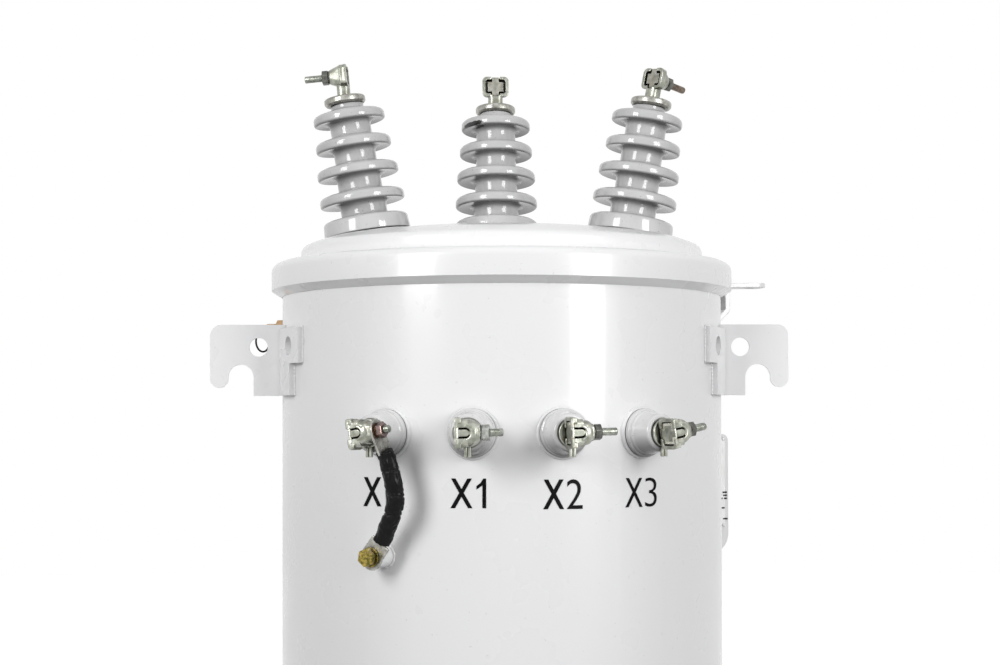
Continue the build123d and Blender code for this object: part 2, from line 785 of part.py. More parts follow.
def relief_valve():
    """Hex body, round cap and the stem whose eye carries the pull ring."""
    body = Pos(0, 0, -weld_depth) * hexagon(valve_flats, valve_body_length + weld_depth)
    cap = Cylinder(valve_cap_radius, valve_cap_length, align=on_base)
    cap = chamfer(cap.faces().sort_by(Axis.Z)[-1].edges(), valve_cap_chamfer)
    stem = Pos(0, 0, valve_cap_length) * Cylinder(valve_eye_radius, valve_eye_length, align=on_base)
    wall_face = wall_frame(valve_azimuth, valve_height) * Pos(tank_radius, 0, 0) * Rot(0, 90, 0)
    valve = wall_face * (body + Pos(0, 0, valve_body_length) * (cap + stem))
    return valve - outside_of_tank() - pull_ring(ring_wire + fit_gap)


def nameplate_holder():
    """Sheet standing straight out from the wall, with a foot bent along it."""
    low = plate_top - plate_height
    root = tank_radius - weld_depth
    tip = tank_radius + holder_reach
    outline = [(root, 0, low), (tip, 0, low), (tip, 0, plate_top), (root, 0, plate_top)]
    face = Face(Wire(Polyline(outline, close=True).edges()))
    face = face.fillet_2d(holder_low_round, [nearest_corner(face, tip, low)])
    face = face.fillet_2d(holder_top_round, [nearest_corner(face, tip, plate_top)])
    sheet = extrude(face, amount=holder_thickness, dir=(0, 1, 0))
    inner = tank_radius + fit_gap
    foot_span = math.degrees(holder_foot_width / tank_radius)
    foot = ring_sector(
        inner, inner + holder_thickness, low + holder_foot_short, plate_top - holder_foot_short,
        plate_azimuth, plate_azimuth + foot_span)
    return wall_frame(plate_azimuth, 0) * sheet - outside_of_tank() + foot


def nameplate():
    """Thin plate riveted to the front of its holder."""
    low = plate_top - plate_height + plate_foot_up
    wide = holder_reach - 3 * plate_margin
    tall = plate_top - low - 2 * plate_margin
    plate = Box(wide, plate_thickness, tall)
    plate = fillet(plate.edges().filter_by(Axis.Y), plate_corner)
    middle = Pos(tank_radius + holder_reach / 2, -plate_thickness / 2, (low + plate_top) / 2)
    return wall_frame(plate_azimuth, 0) * middle * plate


def pole_hanger(height):
    """Pressed hat channel with a slot, open below, that drops over the pole bolt."""
    out = tank_radius + hanger_stand_off
    web = hanger_width / 2 - hanger_web_in
    foot = hanger_width / 2 + hanger_flare
    root = tank_radius - hanger_flare
    sheet = hanger_sheet
    behind = root - sheet
    outer = make_face(Polyline([(root, -foot), (out, -web), (out, web), (root, foot)], close=True))
    inner = make_face(Polyline(
        [(behind, sheet - foot), (out - sheet, sheet - web),
         (out - sheet, web - sheet), (behind, foot - sheet)], close=True))
    channel = Pos(0, 0, -hanger_tall / 2) * extrude(outer - inner, hanger_tall)
    slot = Pos(out, 0, 0) * Rot(0, 90, 0) * Cylinder(hanger_slot / 2, 4 * sheet)
    mouth = Pos(out, 0, 0) * Box(
        4 * sheet, hanger_slot, hanger_tall, align=(Align.CENTER, Align.CENTER, Align.MAX))
    return wall_frame(180, height) * (channel - slot - mouth) - outside_of_tank()


def ground_pad():
    """Round pad with a threaded hole, welded near the base."""
    wall_face = wall_frame(ground_pad_azimuth, ground_pad_height) * Pos(tank_radius, 0, 0) * Rot(0, 90, 0)
    pad = wall_face * Pos(0, 0, -weld_depth) * Cylinder(
        ground_pad_radius, ground_pad_proud + weld_depth, align=on_base)
    thread = wall_face * Pos(0, 0, fit_gap) * Cylinder(ground_thread_radius, ground_pad_proud, align=on_base)
    return pad - outside_of_tank() - thread


# ---------------------------------------------------------------- assembly

def build():
    """Every node by name. A list holds like pieces that share a node."""
    nodes = {
        "tank_wall": tank_shell(),
        "tank_bottom": tank_bottom(),
        "core_and_oil": core_and_oil(),
        "cover": cover(),
        "cover_band": cover_band(),
        "cover_band_bolt": band_bolt(),
    }
    shared = {name: [] for name in (
        "hv_gaskets", "hv_caps", "hv_clamp_jaws", "hv_clamp_screws",
        "lv_gaskets", "lv_caps", "lv_clamp_jaws", "lv_clamp_screws")}
    for side in hv_azimuths:
        cap = hv_cap_place(side) * hv_cap()
        clamp = hv_clamp_place(side)
        casting = clamp * clamp_body(
            hv_clamp_front, hv_clamp_back, hv_slot_end, hv_boss_end, hv_boss_width, hv_post_height)
        shared["hv_gaskets"].append(
            hv_frame(side) * washer(hv_gasket_radius, hv_gasket_bore, hv_gasket))
        nodes["hv_bushing_" + side] = hv_frame(side, hv_gasket) * hv_bushing()
        shared["hv_caps"].append(cap)
        nodes["hv_clamp_" + side] = casting - cap
        shared["hv_clamp_jaws"].append(clamp * clamp_jaw(hv_clamp_front, hv_slot_end))
        shared["hv_clamp_screws"].append(
            clamp * clamp_screw(hv_clamp_front, hv_boss_end, hv_shank_reach))
    for n, name in enumerate(lv_names):
        azimuth = lv_azimuths()[n]
        cap = lv_frame(azimuth, lv_seat_height + lv_length) * lv_cap()
        clamp = lv_clamp_place(n)
        casting = clamp * clamp_body(
            lv_clamp_front, lv_clamp_back, lv_slot_end, lv_boss_end, lv_boss_width, lv_post_height)
        extra = strap_lug_thickness if n == 0 else 0.0
        gasket = washer(lv_gasket_radius, lv_gasket_bore, lv_gasket)
        shared["lv_gaskets"].append(lv_frame(azimuth, lv_seat_height - lv_gasket) * gasket)
        nodes["lv_bushing_" + name] = lv_frame(azimuth, lv_seat_height) * lv_bushing()
        shared["lv_caps"].append(cap)
        nodes["lv_clamp_" + name] = casting - cap
        shared["lv_clamp_jaws"].append(clamp * clamp_jaw(lv_clamp_front, lv_slot_end))
        shared["lv_clamp_screws"].append(
            clamp * clamp_screw(lv_clamp_front, lv_boss_end, lv_shank_reaches[n], extra))
    nodes.update(shared)
    nodes.update({
        "ground_strap": strap(),
        "strap_lug_upper": upper_lug_place() * strap_lug(upper_lug_length, shank_radius + fit_gap),
        "strap_lug_lower": lower_lug_place() * strap_lug(lower_lug_length, ground_thread_radius + fit_gap),
        "ground_boss": ground_boss(),
        "ground_bolt": ground_bolt(),
        "lifting_lug_left": lifting_lug("left"),
        "lifting_lug_right": lifting_lug("right"),
        "arrester_bracket": arrester_bracket(),
        "relief_valve": relief_valve(),
        "relief_valve_ring": pull_ring(ring_wire),
        "nameplate_holder": nameplate_holder(),
        "nameplate": nameplate(),
        "pole_hanger_upper": pole_hanger(hanger_upper_height),
        "pole_hanger_lower": pole_hanger(hanger_upper_height - hanger_spacing),
        "ground_pad": ground_pad(),
    })
    return nodes


os.makedirs(parts_folder, exist_ok=True)
for node, shape in build().items():
    solids = [s for piece in (shape if isinstance(shape, list) else [shape]) for s in piece.solids()]
    export_step(Compound(children=solids), f"{parts_folder}/{node}.step")
    print(node, len(solids), round(sum(s.volume for s in solids)))
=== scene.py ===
import bpy
import bmesh
import math
import random
from mathutils import Matrix, Vector, noise


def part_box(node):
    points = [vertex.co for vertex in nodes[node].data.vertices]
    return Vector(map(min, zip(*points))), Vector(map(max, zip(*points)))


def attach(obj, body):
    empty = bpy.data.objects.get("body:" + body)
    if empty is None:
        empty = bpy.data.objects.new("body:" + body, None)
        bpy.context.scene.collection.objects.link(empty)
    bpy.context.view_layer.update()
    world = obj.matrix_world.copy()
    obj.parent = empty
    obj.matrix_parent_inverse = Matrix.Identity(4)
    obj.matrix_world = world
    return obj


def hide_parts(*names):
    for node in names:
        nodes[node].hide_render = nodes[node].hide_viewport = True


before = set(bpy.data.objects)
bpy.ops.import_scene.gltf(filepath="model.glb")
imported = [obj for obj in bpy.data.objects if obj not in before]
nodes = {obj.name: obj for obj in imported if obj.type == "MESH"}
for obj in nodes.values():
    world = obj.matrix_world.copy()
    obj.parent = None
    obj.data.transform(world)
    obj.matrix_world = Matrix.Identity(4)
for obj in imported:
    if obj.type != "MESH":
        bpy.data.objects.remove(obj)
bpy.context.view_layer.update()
scene = bpy.context.scene
mm = 0.001


# small helpers used by every material

def toLinear(hexColour):
    # sRGB hex to the linear numbers that Blender's sockets take
    channels = [int(hexColour[i:i + 2], 16) / 255 for i in (0, 2, 4)]
    return [c / 12.92 if c <= 0.04045 else ((c + 0.055) / 1.055) ** 2.4 for c in channels] + [1.0]


def addNode(tree, kind, settings=None, values=None, links=None):
    # adds one shader node: its settings, then fixed values, then links from other nodes' sockets
    node = tree.nodes.new(kind)
    for name, setting in (settings or {}).items():
        setattr(node, name, setting)
    for socket, value in (values or {}).items():
        node.inputs[socket].default_value = value
    for socket, source in (links or {}).items():
        tree.links.new(source, node.inputs[socket])
    return node


def startMaterial(name, values):
    # a material with one Principled shader, its fixed values set on the shader itself
    material = bpy.data.materials.new(name)
    material.use_nodes = True
    tree = material.node_tree
    tree.nodes.clear()
    shader = addNode(tree, "ShaderNodeBsdfPrincipled", values=values)
    addNode(tree, "ShaderNodeOutputMaterial", links={"Surface": shader.outputs["BSDF"]})
    place = addNode(tree, "ShaderNodeTexCoord")
    return material, tree, shader, place.outputs["Object"]


def lumps(tree, place, size, detail=2.0, stretch=(1, 1, 1)):
    # soft noise whose lumps are about this many millimetres across
    mapped = addNode(tree, "ShaderNodeMapping", values={"Scale": stretch}, links={"Vector": place})
    return addNode(tree, "ShaderNodeTexNoise", values={"Scale": 1000.0 / size, "Detail": detail},
                   links={"Vector": mapped.outputs[0]}).outputs["Fac"]


def blend(tree, source, span, amount, first, second):
    # from the first colour towards the second while the source crosses the span
    mask = addNode(tree, "ShaderNodeMapRange", values={
        "From Min": span[0], "From Max": span[1], "To Max": amount}, links={"Value": source})
    mix = addNode(tree, "ShaderNodeMix", {"data_type": "RGBA"}, links={"Factor": mask.outputs["Result"]})
    for socket, colour in ((mix.inputs[6], first), (mix.inputs[7], second)):
        if isinstance(colour, str):
            socket.default_value = toLinear(colour)
        else:
            tree.links.new(colour, socket)
    return mix.outputs[2]


def cornerShadeAndDirt(tree, distance, amount, clean, dirt):
    # corners of about this many millimetres darkened by ambient occlusion: painted shade, with the dirt and
    # tarnish that stay there
    shade = addNode(tree, "ShaderNodeAmbientOcclusion", {"samples": 8}, {"Distance": distance * mm})
    return blend(tree, shade.outputs["AO"], (0.95, 0.35), amount, clean, dirt)


def unevenGloss(tree, place, shader, size, low, high):
    # roughness that wanders between two values
    span = addNode(tree, "ShaderNodeMapRange", values={
        "From Min": 0.25, "From Max": 0.75, "To Min": low, "To Max": high},
        links={"Value": lumps(tree, place, size, 3)})
    tree.links.new(span.outputs["Result"], shader.inputs["Roughness"])


def skin(tree, place, shader, size, strength, depth, detail=1.0, stretch=(1, 1, 1)):
    # fine relief of a real depth in millimetres, on the base and on its coat
    relief = addNode(tree, "ShaderNodeBump", values={"Strength": strength, "Distance": depth * mm},
                     links={"Height": lumps(tree, place, size, detail, stretch)})
    tree.links.new(relief.outputs[0], shader.inputs["Normal"])
    tree.links.new(relief.outputs[0], shader.inputs["Coat Normal"])


def paint(objects, material):
    for item in objects:
        item.data.materials.clear()
        item.data.materials.append(material)


def bakedEnamel():
    # polyester powder sprayed and baked on sheet steel: near white, glossy, with a fine orange-peel skin
    material, tree, shader, place = startMaterial("baked polyester enamel", {
        "IOR": 1.5, "Specular IOR Level": 0.4, "Coat Weight": 0.3, "Coat Roughness": 0.08, "Coat IOR": 1.5})
    body = blend(tree, lumps(tree, place, 180, 6), (0.2, 0.8), 1.0, "ECECED", "EAEAEB")
    dusty = blend(tree, lumps(tree, place, 3.5, 0), (0.83, 0.86), 0.2, body, "96948F")
    # painted shade: corners and joins of the enamel darkened towards grey
    shadedCorners = cornerShadeAndDirt(tree, 9, 0.4, dusty, "A5A4A2")
    tree.links.new(shadedCorners, shader.inputs["Base Color"])
    unevenGloss(tree, place, shader, 70, 0.24, 0.34)
    # orange peel is about 2 mm from crest to crest, and drawn at 3 mm so that it shows
    skin(tree, place, shader, 3, 0.12, 0.08)
    return material


def glazedPorcelain(name, light, dark, chipped=False):
    # clay body dipped in glaze and fired: hard sharp gloss, faint waves and iron specks
    material, tree, shader, place = startMaterial(name, {
        "IOR": 1.5, "Specular IOR Level": 0.4, "Coat Roughness": 0.03, "Coat IOR": 1.5})
    body = blend(tree, lumps(tree, place, 30), (0.3, 0.7), 1.0, light, dark)
    specks = blend(tree, lumps(tree, place, 2.2, 0), (0.80, 0.83), 0.6, body, "7A746C")
    # painted shade: recesses under and between the sheds darkened towards grey
    shadedRecesses = cornerShadeAndDirt(tree, 12, 0.45, specks, "767676")
    # painted shade: faces that turn downwards are painted darker, and get less coat, so that they are also
    # less glossy
    surface = addNode(tree, "ShaderNodeNewGeometry")
    upright = addNode(tree, "ShaderNodeSeparateXYZ", links={"Vector": surface.outputs["Normal"]})
    shadeBelow = blend(tree, upright.outputs["Z"], (-0.1, -0.85), 0.75, shadedRecesses, "5A5A5A")
    gloss = addNode(tree, "ShaderNodeMapRange", values={
        "From Min": -0.75, "From Max": -0.05, "To Min": 0.025, "To Max": 0.25},
        links={"Value": upright.outputs["Z"]})
    tree.links.new(gloss.outputs["Result"], shader.inputs["Coat Weight"])
    if chipped:
        # a dark scuff on the front left of the top shed, where the glaze is rubbed through
        spot = addNode(tree, "ShaderNodeMapping", {"vector_type": "TEXTURE"}, {
            "Location": chipPlace(), "Rotation": (0, math.radians(-8), math.radians(-46)),
            "Scale": (0.024, 0.030, 0.0044)}, {"Vector": place})
        ball = addNode(tree, "ShaderNodeTexGradient", {"gradient_type": "SPHERICAL"},
                       links={"Vector": spot.outputs[0]})
        ragged = addNode(tree, "ShaderNodeMath", {"operation": "MULTIPLY_ADD"}, {1: 0.5},
                         {0: lumps(tree, place, 4, 3), 2: ball.outputs["Fac"]})
        shadeBelow = blend(tree, ragged.outputs[0], (0.36, 0.46), 1.0, shadeBelow, "2A2928")
    tree.links.new(shadeBelow, shader.inputs["Base Color"])
    unevenGloss(tree, place, shader, 40, 0.08, 0.13)
    skin(tree, place, shader, 22, 0.2, 0.25)
    return material


def tinnedBronze(name, light, mid):
    # sand-cast bronze dipped in tin: pale metal with a green-grey cast, pitted, and darkened in corners by
    # tarnish and painted shade
    material, tree, shader, place = startMaterial(name, {"Metallic": 1.0})
    body = blend(tree, lumps(tree, place, 9, 4), (0.35, 0.65), 1.0, light, mid)
    warm = blend(tree, lumps(tree, place, 5, 3), (0.58, 0.74), 0.5, body, "9E806A")
    # painted shade with tarnish: corners darkened nearly to black
    dark = cornerShadeAndDirt(tree, 6, 1.0, warm, "1C1A17")
    tree.links.new(dark, shader.inputs["Base Color"])
    unevenGloss(tree, place, shader, 2.5, 0.26, 0.46)
    # sand grain is about 0.3 mm, and drawn at 1.6 mm so that it shows
    skin(tree, place, shader, 1.6, 0.3, 0.14, 2)
    return material


def turnedTin():
    # brass disc turned on a lathe and tinned: brighter and smoother than the castings
    material, tree, shader, place = startMaterial("turned tinned brass", {"Metallic": 1.0})
    body = blend(tree, lumps(tree, place, 7, 3), (0.35, 0.65), 1.0, "B2B1AB", "8A8982")
    # painted shade with tarnish: corners darkened nearly to black
    dark = cornerShadeAndDirt(tree, 8, 1.0, body, "2E2C27")
    tree.links.new(dark, shader.inputs["Base Color"])
    unevenGloss(tree, place, shader, 3, 0.22, 0.38)
    skin(tree, place, shader, 2.2, 0.08, 0.06)
    return material


def plainScrew(name, light, mid, dark):
    # rolled and machined screw metal, a little tarnished: light faces, and grooves darkened by tarnish and
    # painted shade
    material, tree, shader, place = startMaterial(name, {"Metallic": 1.0})
    body = blend(tree, lumps(tree, place, 6, 3), (0.35, 0.65), 1.0, light, mid)
    # painted shade with tarnish in the grooves, towards the third colour
    tarnishAndShade = cornerShadeAndDirt(tree, 2.5, 0.9, body, dark)
    tree.links.new(tarnishAndShade, shader.inputs["Base Color"])
    unevenGloss(tree, place, shader, 2, 0.2, 0.36)
    skin(tree, place, shader, 0.9, 0.12, 0.06, 2)
    return material


def yellowZinc():
    # zinc plate with a yellow chromate dip: olive gold that drifts to green and pink, pitted on its face
    material, tree, shader, place = startMaterial("yellow chromated zinc plate", {"Metallic": 1.0})
    drift = blend(tree, lumps(tree, place, 3.2, 4), (0.4, 0.6), 1.0, "A08E4A", "5E592B")
    pink = blend(tree, lumps(tree, place, 4, 2), (0.56, 0.7), 0.6, drift, "B8937A")
    # painted shade with tarnish: corners darkened towards dark olive
    tarnishAndShade = cornerShadeAndDirt(tree, 6, 1.0, pink, "2A2513")
    tree.links.new(tarnishAndShade, shader.inputs["Base Color"])
    unevenGloss(tree, place, shader, 2, 0.22, 0.42)
    skin(tree, place, shader, 2.4, 0.9, 0.4, 2)
    return material


def machinedBrass():
    # brass hex bar, turned and left bare: warm yellow, darkened to dull brown in the corners by tarnish and
    # painted shade
    material, tree, shader, place = startMaterial("machined brass", {"Metallic": 1.0})
    body = blend(tree, lumps(tree, place, 8, 3), (0.35, 0.65), 1.0, "CDA97C", "A98460")
    # painted shade with tarnish: corners darkened towards dull brown
    tarnishAndShade = cornerShadeAndDirt(tree, 4, 1.0, body, "3E2C1A")
    tree.links.new(tarnishAndShade, shader.inputs["Base Color"])
    unevenGloss(tree, place, shader, 3, 0.24, 0.4)
    skin(tree, place, shader, 1.2, 0.1, 0.05, 2)
    return material


def shrinkSleeve():
    # heat-shrunk polyolefin: black, half gloss, drawn tight so that the braid prints through
    material, tree, shader, place = startMaterial("heat-shrunk polyolefin", {
        "IOR": 1.5, "Specular IOR Level": 0.08, "Coat Weight": 0.12, "Coat Roughness": 0.16, "Coat IOR": 1.5})
    body = blend(tree, lumps(tree, place, 8, 4), (0.4, 0.7), 1.0, "050506", "111112")
    tree.links.new(body, shader.inputs["Base Color"])
    unevenGloss(tree, place, shader, 5, 0.28, 0.48)
    # braid wires are 0.3 mm, and drawn at 1.6 mm so that they show
    skin(tree, place, shader, 1.6, 0.55, 0.4, 2, (1, 1, 0.5))
    return material


def nitrileRubber():
    # moulded nitrile cork gasket: black, matt and slightly dusty
    material, tree, shader, place = startMaterial("moulded nitrile rubber", {"IOR": 1.52})
    body = blend(tree, lumps(tree, place, 4, 3), (0.35, 0.7), 1.0, "0F0F10", "232325")
    tree.links.new(body, shader.inputs["Base Color"])
    unevenGloss(tree, place, shader, 2, 0.6, 0.8)
    skin(tree, place, shader, 1.5, 0.2, 0.1)
    return material


def stencilInk():
    # black vinyl letters rolled on by hand: flat black with small worn spots
    material, tree, shader, place = startMaterial("rolled black vinyl", {
        "IOR": 1.46, "Specular IOR Level": 0.08})
    body = blend(tree, lumps(tree, place, 3, 3), (0.62, 0.74), 0.8, "050506", "262627")
    tree.links.new(body, shader.inputs["Base Color"])
    unevenGloss(tree, place, shader, 6, 0.35, 0.5)
    return material


def plateSheet():
    # rolled aluminium sheet with a clear anodised skin: pale, satin, faint grain along its height
    material, tree, shader, place = startMaterial("clear anodised aluminium", {
        "Metallic": 0.6, "IOR": 1.5})
    grain = lumps(tree, place, 1.2, 3, (1, 1, 0.05))
    body = blend(tree, grain, (0.3, 0.7), 1.0, "DADADA", "C9C9C8")
    tree.links.new(body, shader.inputs["Base Color"])
    unevenGloss(tree, place, shader, 12, 0.3, 0.42)
    skin(tree, place, shader, 1.2, 0.05, 0.04, 3, (1, 1, 0.05))
    return material


def ringWire():
    # spring wire with a black phosphate skin: dark grey, half matt
    material, tree, shader, place = startMaterial("phosphated spring wire", {"Metallic": 0.7})
    body = blend(tree, lumps(tree, place, 3, 2), (0.35, 0.65), 1.0, "1A1A1C", "2D2B29")
    tree.links.new(body, shader.inputs["Base Color"])
    unevenGloss(tree, place, shader, 2, 0.35, 0.5)
    return material


def oilAndCore():
    # mineral oil over stacked core steel: amber brown, unseen inside the tank
    material, tree, shader, place = startMaterial("mineral oil over core steel", {"IOR": 1.48})
    body = blend(tree, lumps(tree, place, 40, 3), (0.35, 0.65), 1.0, "6B5532", "544225")
    tree.links.new(body, shader.inputs["Base Color"])
    unevenGloss(tree, place, shader, 20, 0.2, 0.35)
    return material


# where things sit: the tank, its cover and its two rows of bushings, in millimetres

tankSet = {
    "rimWidth": 7.0,              # the rim under the band stands this far out of the wall
    "domeRise": 62.0, "domeEdge": 250.0, "domeDrop": 19.0, "padHeight": 3.0,
    "terminalStep": 21.4,         # degrees between the low-voltage terminals
    "terminalDrop": 224.0,
    "seatHeight": 3.5,
}
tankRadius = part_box("tank_wall")[1][0] / mm - tankSet["rimWidth"]
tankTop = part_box("tank_wall")[1][2] / mm
terminalHeight = tankTop - tankSet["terminalDrop"]
highSides = {
    "left": {"azimuth": -96.1, "fromAxis": 187.8, "lean": 9.2, "turn": 0.0, "tip": 4.0},
    "centre": {"azimuth": 179.6, "fromAxis": 122.0, "lean": 6.3, "turn": 0.0, "tip": 0.0},
    "right": {"azimuth": 96.3, "fromAxis": 184.0, "lean": 9.2, "turn": 31.0, "tip": -2.0},
}
lowTurns = [8.0, 1.0, 2.0, 9.0]
lowNames = ["x0", "x1", "x2", "x3"]


def outward(azimuth):
    angle = math.radians(azimuth)
    return Vector((math.sin(angle), -math.cos(angle), 0))


def placeFrom(origin, xAxis, zAxis):
    x = xAxis.normalized()
    z = zAxis.normalized()
    place = Matrix((x, z.cross(x), z)).transposed().to_4x4()
    place.translation = origin
    return place


def move(x, y, z):
    return Matrix.Translation((x, y, z))


def turn(angle, axis):
    return Matrix.Rotation(math.radians(angle), 4, axis)


def wallPlace(azimuth, out, height):
    # X runs outward, Y to the right, Z up
    return placeFrom(outward(azimuth) * out + Vector((0, 0, height)), outward(azimuth), Vector((0, 0, 1)))


def lowAzimuth(index):
    return (index - 1.5) * tankSet["terminalStep"]


def lowPlace(index, lift=0.0):
    # on the wall: Z straight out, X to the right, Y up
    away = outward(lowAzimuth(index))
    origin = away * (tankRadius + lift) + Vector((0, 0, terminalHeight))
    return placeFrom(origin, Vector((0, 0, 1)).cross(away), away)


def highPlace(side, lift=0.0):
    # on a cover pad: Z along the bushing, X outward
    s = highSides[side]
    away = outward(s["azimuth"])
    ball = (tankSet["domeEdge"] ** 2 + tankSet["domeDrop"] ** 2) / (2 * tankSet["domeDrop"])
    dome = tankTop + tankSet["domeRise"] - ball + math.sqrt(ball ** 2 - s["fromAxis"] ** 2)
    lean = math.radians(s["lean"])
    axis = away * math.sin(lean) + Vector((0, 0, math.cos(lean)))
    level = away * math.cos(lean) - Vector((0, 0, math.sin(lean)))
    seat = away * s["fromAxis"] + Vector((0, 0, dome + tankSet["padHeight"]))
    return placeFrom(seat + axis * lift, level, axis)


# modelling helpers: every piece is drawn in millimetres, then placed

def lathe(profile, rounds=None, steps=96):
    # spins a profile of (radius, height) points round Z; rounds gives some corners a radius
    mesh = bmesh.new()
    corners = [mesh.verts.new((r, 0, z)) for r, z in profile]
    for first, second in zip(corners, corners[1:]):
        mesh.edges.new((first, second))
    reaches = {}
    for index, radius in (rounds or {}).items():
        before = (corners[index - 1].co - corners[index].co).normalized()
        after = (corners[(index + 1) % len(corners)].co - corners[index].co).normalized()
        reaches[index] = radius / math.tan(before.angle(after) / 2)
    for index, reach in reaches.items():
        bmesh.ops.bevel(mesh, geom=[corners[index]], offset=reach, offset_type="OFFSET", segments=6,
                        profile=0.5, affect="VERTICES", material=-1)
    bmesh.ops.spin(mesh, geom=mesh.verts[:] + mesh.edges[:], cent=(0, 0, 0), axis=(0, 0, 1),
                   dvec=(0, 0, 0), angle=math.tau, steps=steps, use_merge=True)
    bmesh.ops.remove_doubles(mesh, verts=mesh.verts, dist=0.001)
    bmesh.ops.recalc_face_normals(mesh, faces=mesh.faces)
    return mesh


def block(width, depth, height, soft=0.6, segments=3):
    # box with rounded edges, its middle at the origin
    mesh = bmesh.new()
    bmesh.ops.create_cube(mesh, size=1.0)
    bmesh.ops.scale(mesh, vec=(width, depth, height), verts=mesh.verts)
    bmesh.ops.bevel(mesh, geom=mesh.edges[:], offset=soft, offset_type="OFFSET", segments=segments,
                    profile=0.5, affect="EDGES", material=-1)
    return mesh


def rod(radius, length, soft=0.4, steps=32):
    # round bar standing on Z = 0, with its end edges softened
    mesh = bmesh.new()
    bmesh.ops.create_cone(mesh, cap_ends=True, segments=steps, radius1=radius, radius2=radius,
                          depth=length)
    bmesh.ops.translate(mesh, vec=(0, 0, length / 2), verts=mesh.verts)
    caps = [f for f in mesh.faces if abs(f.normal.z) > 0.9]
    ring = list({e for f in caps for e in f.edges})
    bmesh.ops.bevel(mesh, geom=ring, offset=soft, offset_type="OFFSET", segments=3,
                    profile=0.5, affect="EDGES", material=-1)
    return mesh


def join(target, extra, place=None):
    # moves one mesh into another
    if place is not None:
        bmesh.ops.transform(extra, matrix=place, verts=extra.verts)
    data = bpy.data.meshes.new("joined")
    extra.to_mesh(data)
    extra.free()
    target.from_mesh(data)
    bpy.data.meshes.remove(data)
    return target


def finish(name, mesh, material, place=None, stands=(), sharp=38.0):
    # a mesh in millimetres becomes a piece of the object, in metres and in its place
    metres = Matrix.Scale(mm, 4)
    bmesh.ops.transform(mesh, matrix=metres @ place if place is not None else metres, verts=mesh.verts)
    data = bpy.data.meshes.new(name)
    mesh.to_mesh(data)
    mesh.free()
    data.shade_smooth()
    data.set_sharp_from_angle(angle=math.radians(sharp))
    data.materials.append(material)
    piece = bpy.data.objects.new(name, data)
    scene.collection.objects.link(piece)
    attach(piece, "root")
    if stands:
        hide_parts(*stands)
    return piece


def copyOf(nodeName):
    # a merged copy of a construction solid, in millimetres
    mesh = bmesh.new()
    mesh.from_mesh(nodes[nodeName].data)
    bmesh.ops.remove_doubles(mesh, verts=mesh.verts, dist=0.00001)
    bmesh.ops.scale(mesh, vec=(1000, 1000, 1000), verts=mesh.verts)
    bmesh.ops.recalc_face_normals(mesh, faces=mesh.faces)
    return mesh


def melt(piece, voxel, rounds=3):
    # fuses the joined shapes and rounds their edges, as a casting comes out of its mould
    fuse = piece.modifiers.new("fuse", "REMESH")
    fuse.mode = "VOXEL"
    fuse.voxel_size = voxel * mm
    fuse.use_smooth_shade = True
    soften = piece.modifiers.new("soften", "SMOOTH")
    soften.factor = 0.5
    soften.iterations = rounds


cameraSet = {
    "lens": 72.05,          # on a 36 mm sensor
    "distance": 2.800,      # from the tank axis
    "azimuth": -3.75,       # degrees to the left of the front
    "height": 0.810,        # level with the low-voltage row
    "pitch": 1.446,
    "roll": -0.12,
    "shiftX": -0.0018,
    "shiftY": 0.0500,
}


def makeCamera(s):
    data = bpy.data.cameras.new("productCamera")
    data.lens = s["lens"]
    data.sensor_width = 36.0
    data.shift_x = s["shiftX"]
    data.shift_y = s["shiftY"]
    data.clip_end = 60.0
    camera = bpy.data.objects.new("productCamera", data)
    place = turn(s["azimuth"], "Z") @ turn(90 + s["pitch"], "X") @ turn(s["roll"], "Z")
    place.translation = outward(s["azimuth"]) * s["distance"] + Vector((0, 0, s["height"]))
    camera.matrix_world = place
    scene.collection.objects.link(camera)
    scene.camera = camera


makeCamera(cameraSet)
print("camera set")


# floor, backdrop and light

stageSet = {
    "floorRadius": 9.0,
    "floorColour": "707070",
    "floorLift": 0.95,        # added for seen rays, so that the lit floor reads as white
    "worldLight": 0.34,
}
lampSet = {
    "keyLeft": {"at": (-2.03, -2.17, 1.85), "size": (0.95, 1.4), "watts": 46},
    "keyRight": {"at": (1.81, -2.29, 1.50), "size": (0.95, 1.4), "watts": 43},
    "fillTop": {"at": (0.0, -1.2, 3.4), "size": (2.2, 1.6), "watts": 5},
}


def makeStage(s):
    ground = bmesh.new()
    bmesh.ops.create_circle(ground, cap_ends=True, segments=96, radius=s["floorRadius"])
    data = bpy.data.meshes.new("studioFloor")
    ground.to_mesh(data)
    ground.free()
    floor = bpy.data.objects.new("studioFloor", data)
    scene.collection.objects.link(floor)
    material, tree, shader = startMaterial("matt studio floor paint", {
        "Base Color": toLinear(s["floorColour"]), "Roughness": 0.85, "Emission Color": (1, 1, 1, 1)})[:3]
    lift = addNode(tree, "ShaderNodeMath", {"operation": "MULTIPLY"}, {1: s["floorLift"]},
                   {0: seenRays(tree)})
    tree.links.new(lift.outputs[0], shader.inputs["Emission Strength"])
    paint([floor], material)

    world = bpy.data.worlds.new("studioWorld")
    world.use_nodes = True
    scene.world = world
    tree = world.node_tree
    tree.nodes.clear()
    light = addNode(tree, "ShaderNodeBackground", values={"Color": (1, 1, 1, 1), "Strength": s["worldLight"]})
    white = addNode(tree, "ShaderNodeBackground", values={"Color": (1, 1, 1, 1), "Strength": 1.0})
    mix = addNode(tree, "ShaderNodeMixShader", links={
        0: seenRays(tree), 1: light.outputs[0], 2: white.outputs[0]})
    addNode(tree, "ShaderNodeOutputWorld", links={"Surface": mix.outputs[0]})


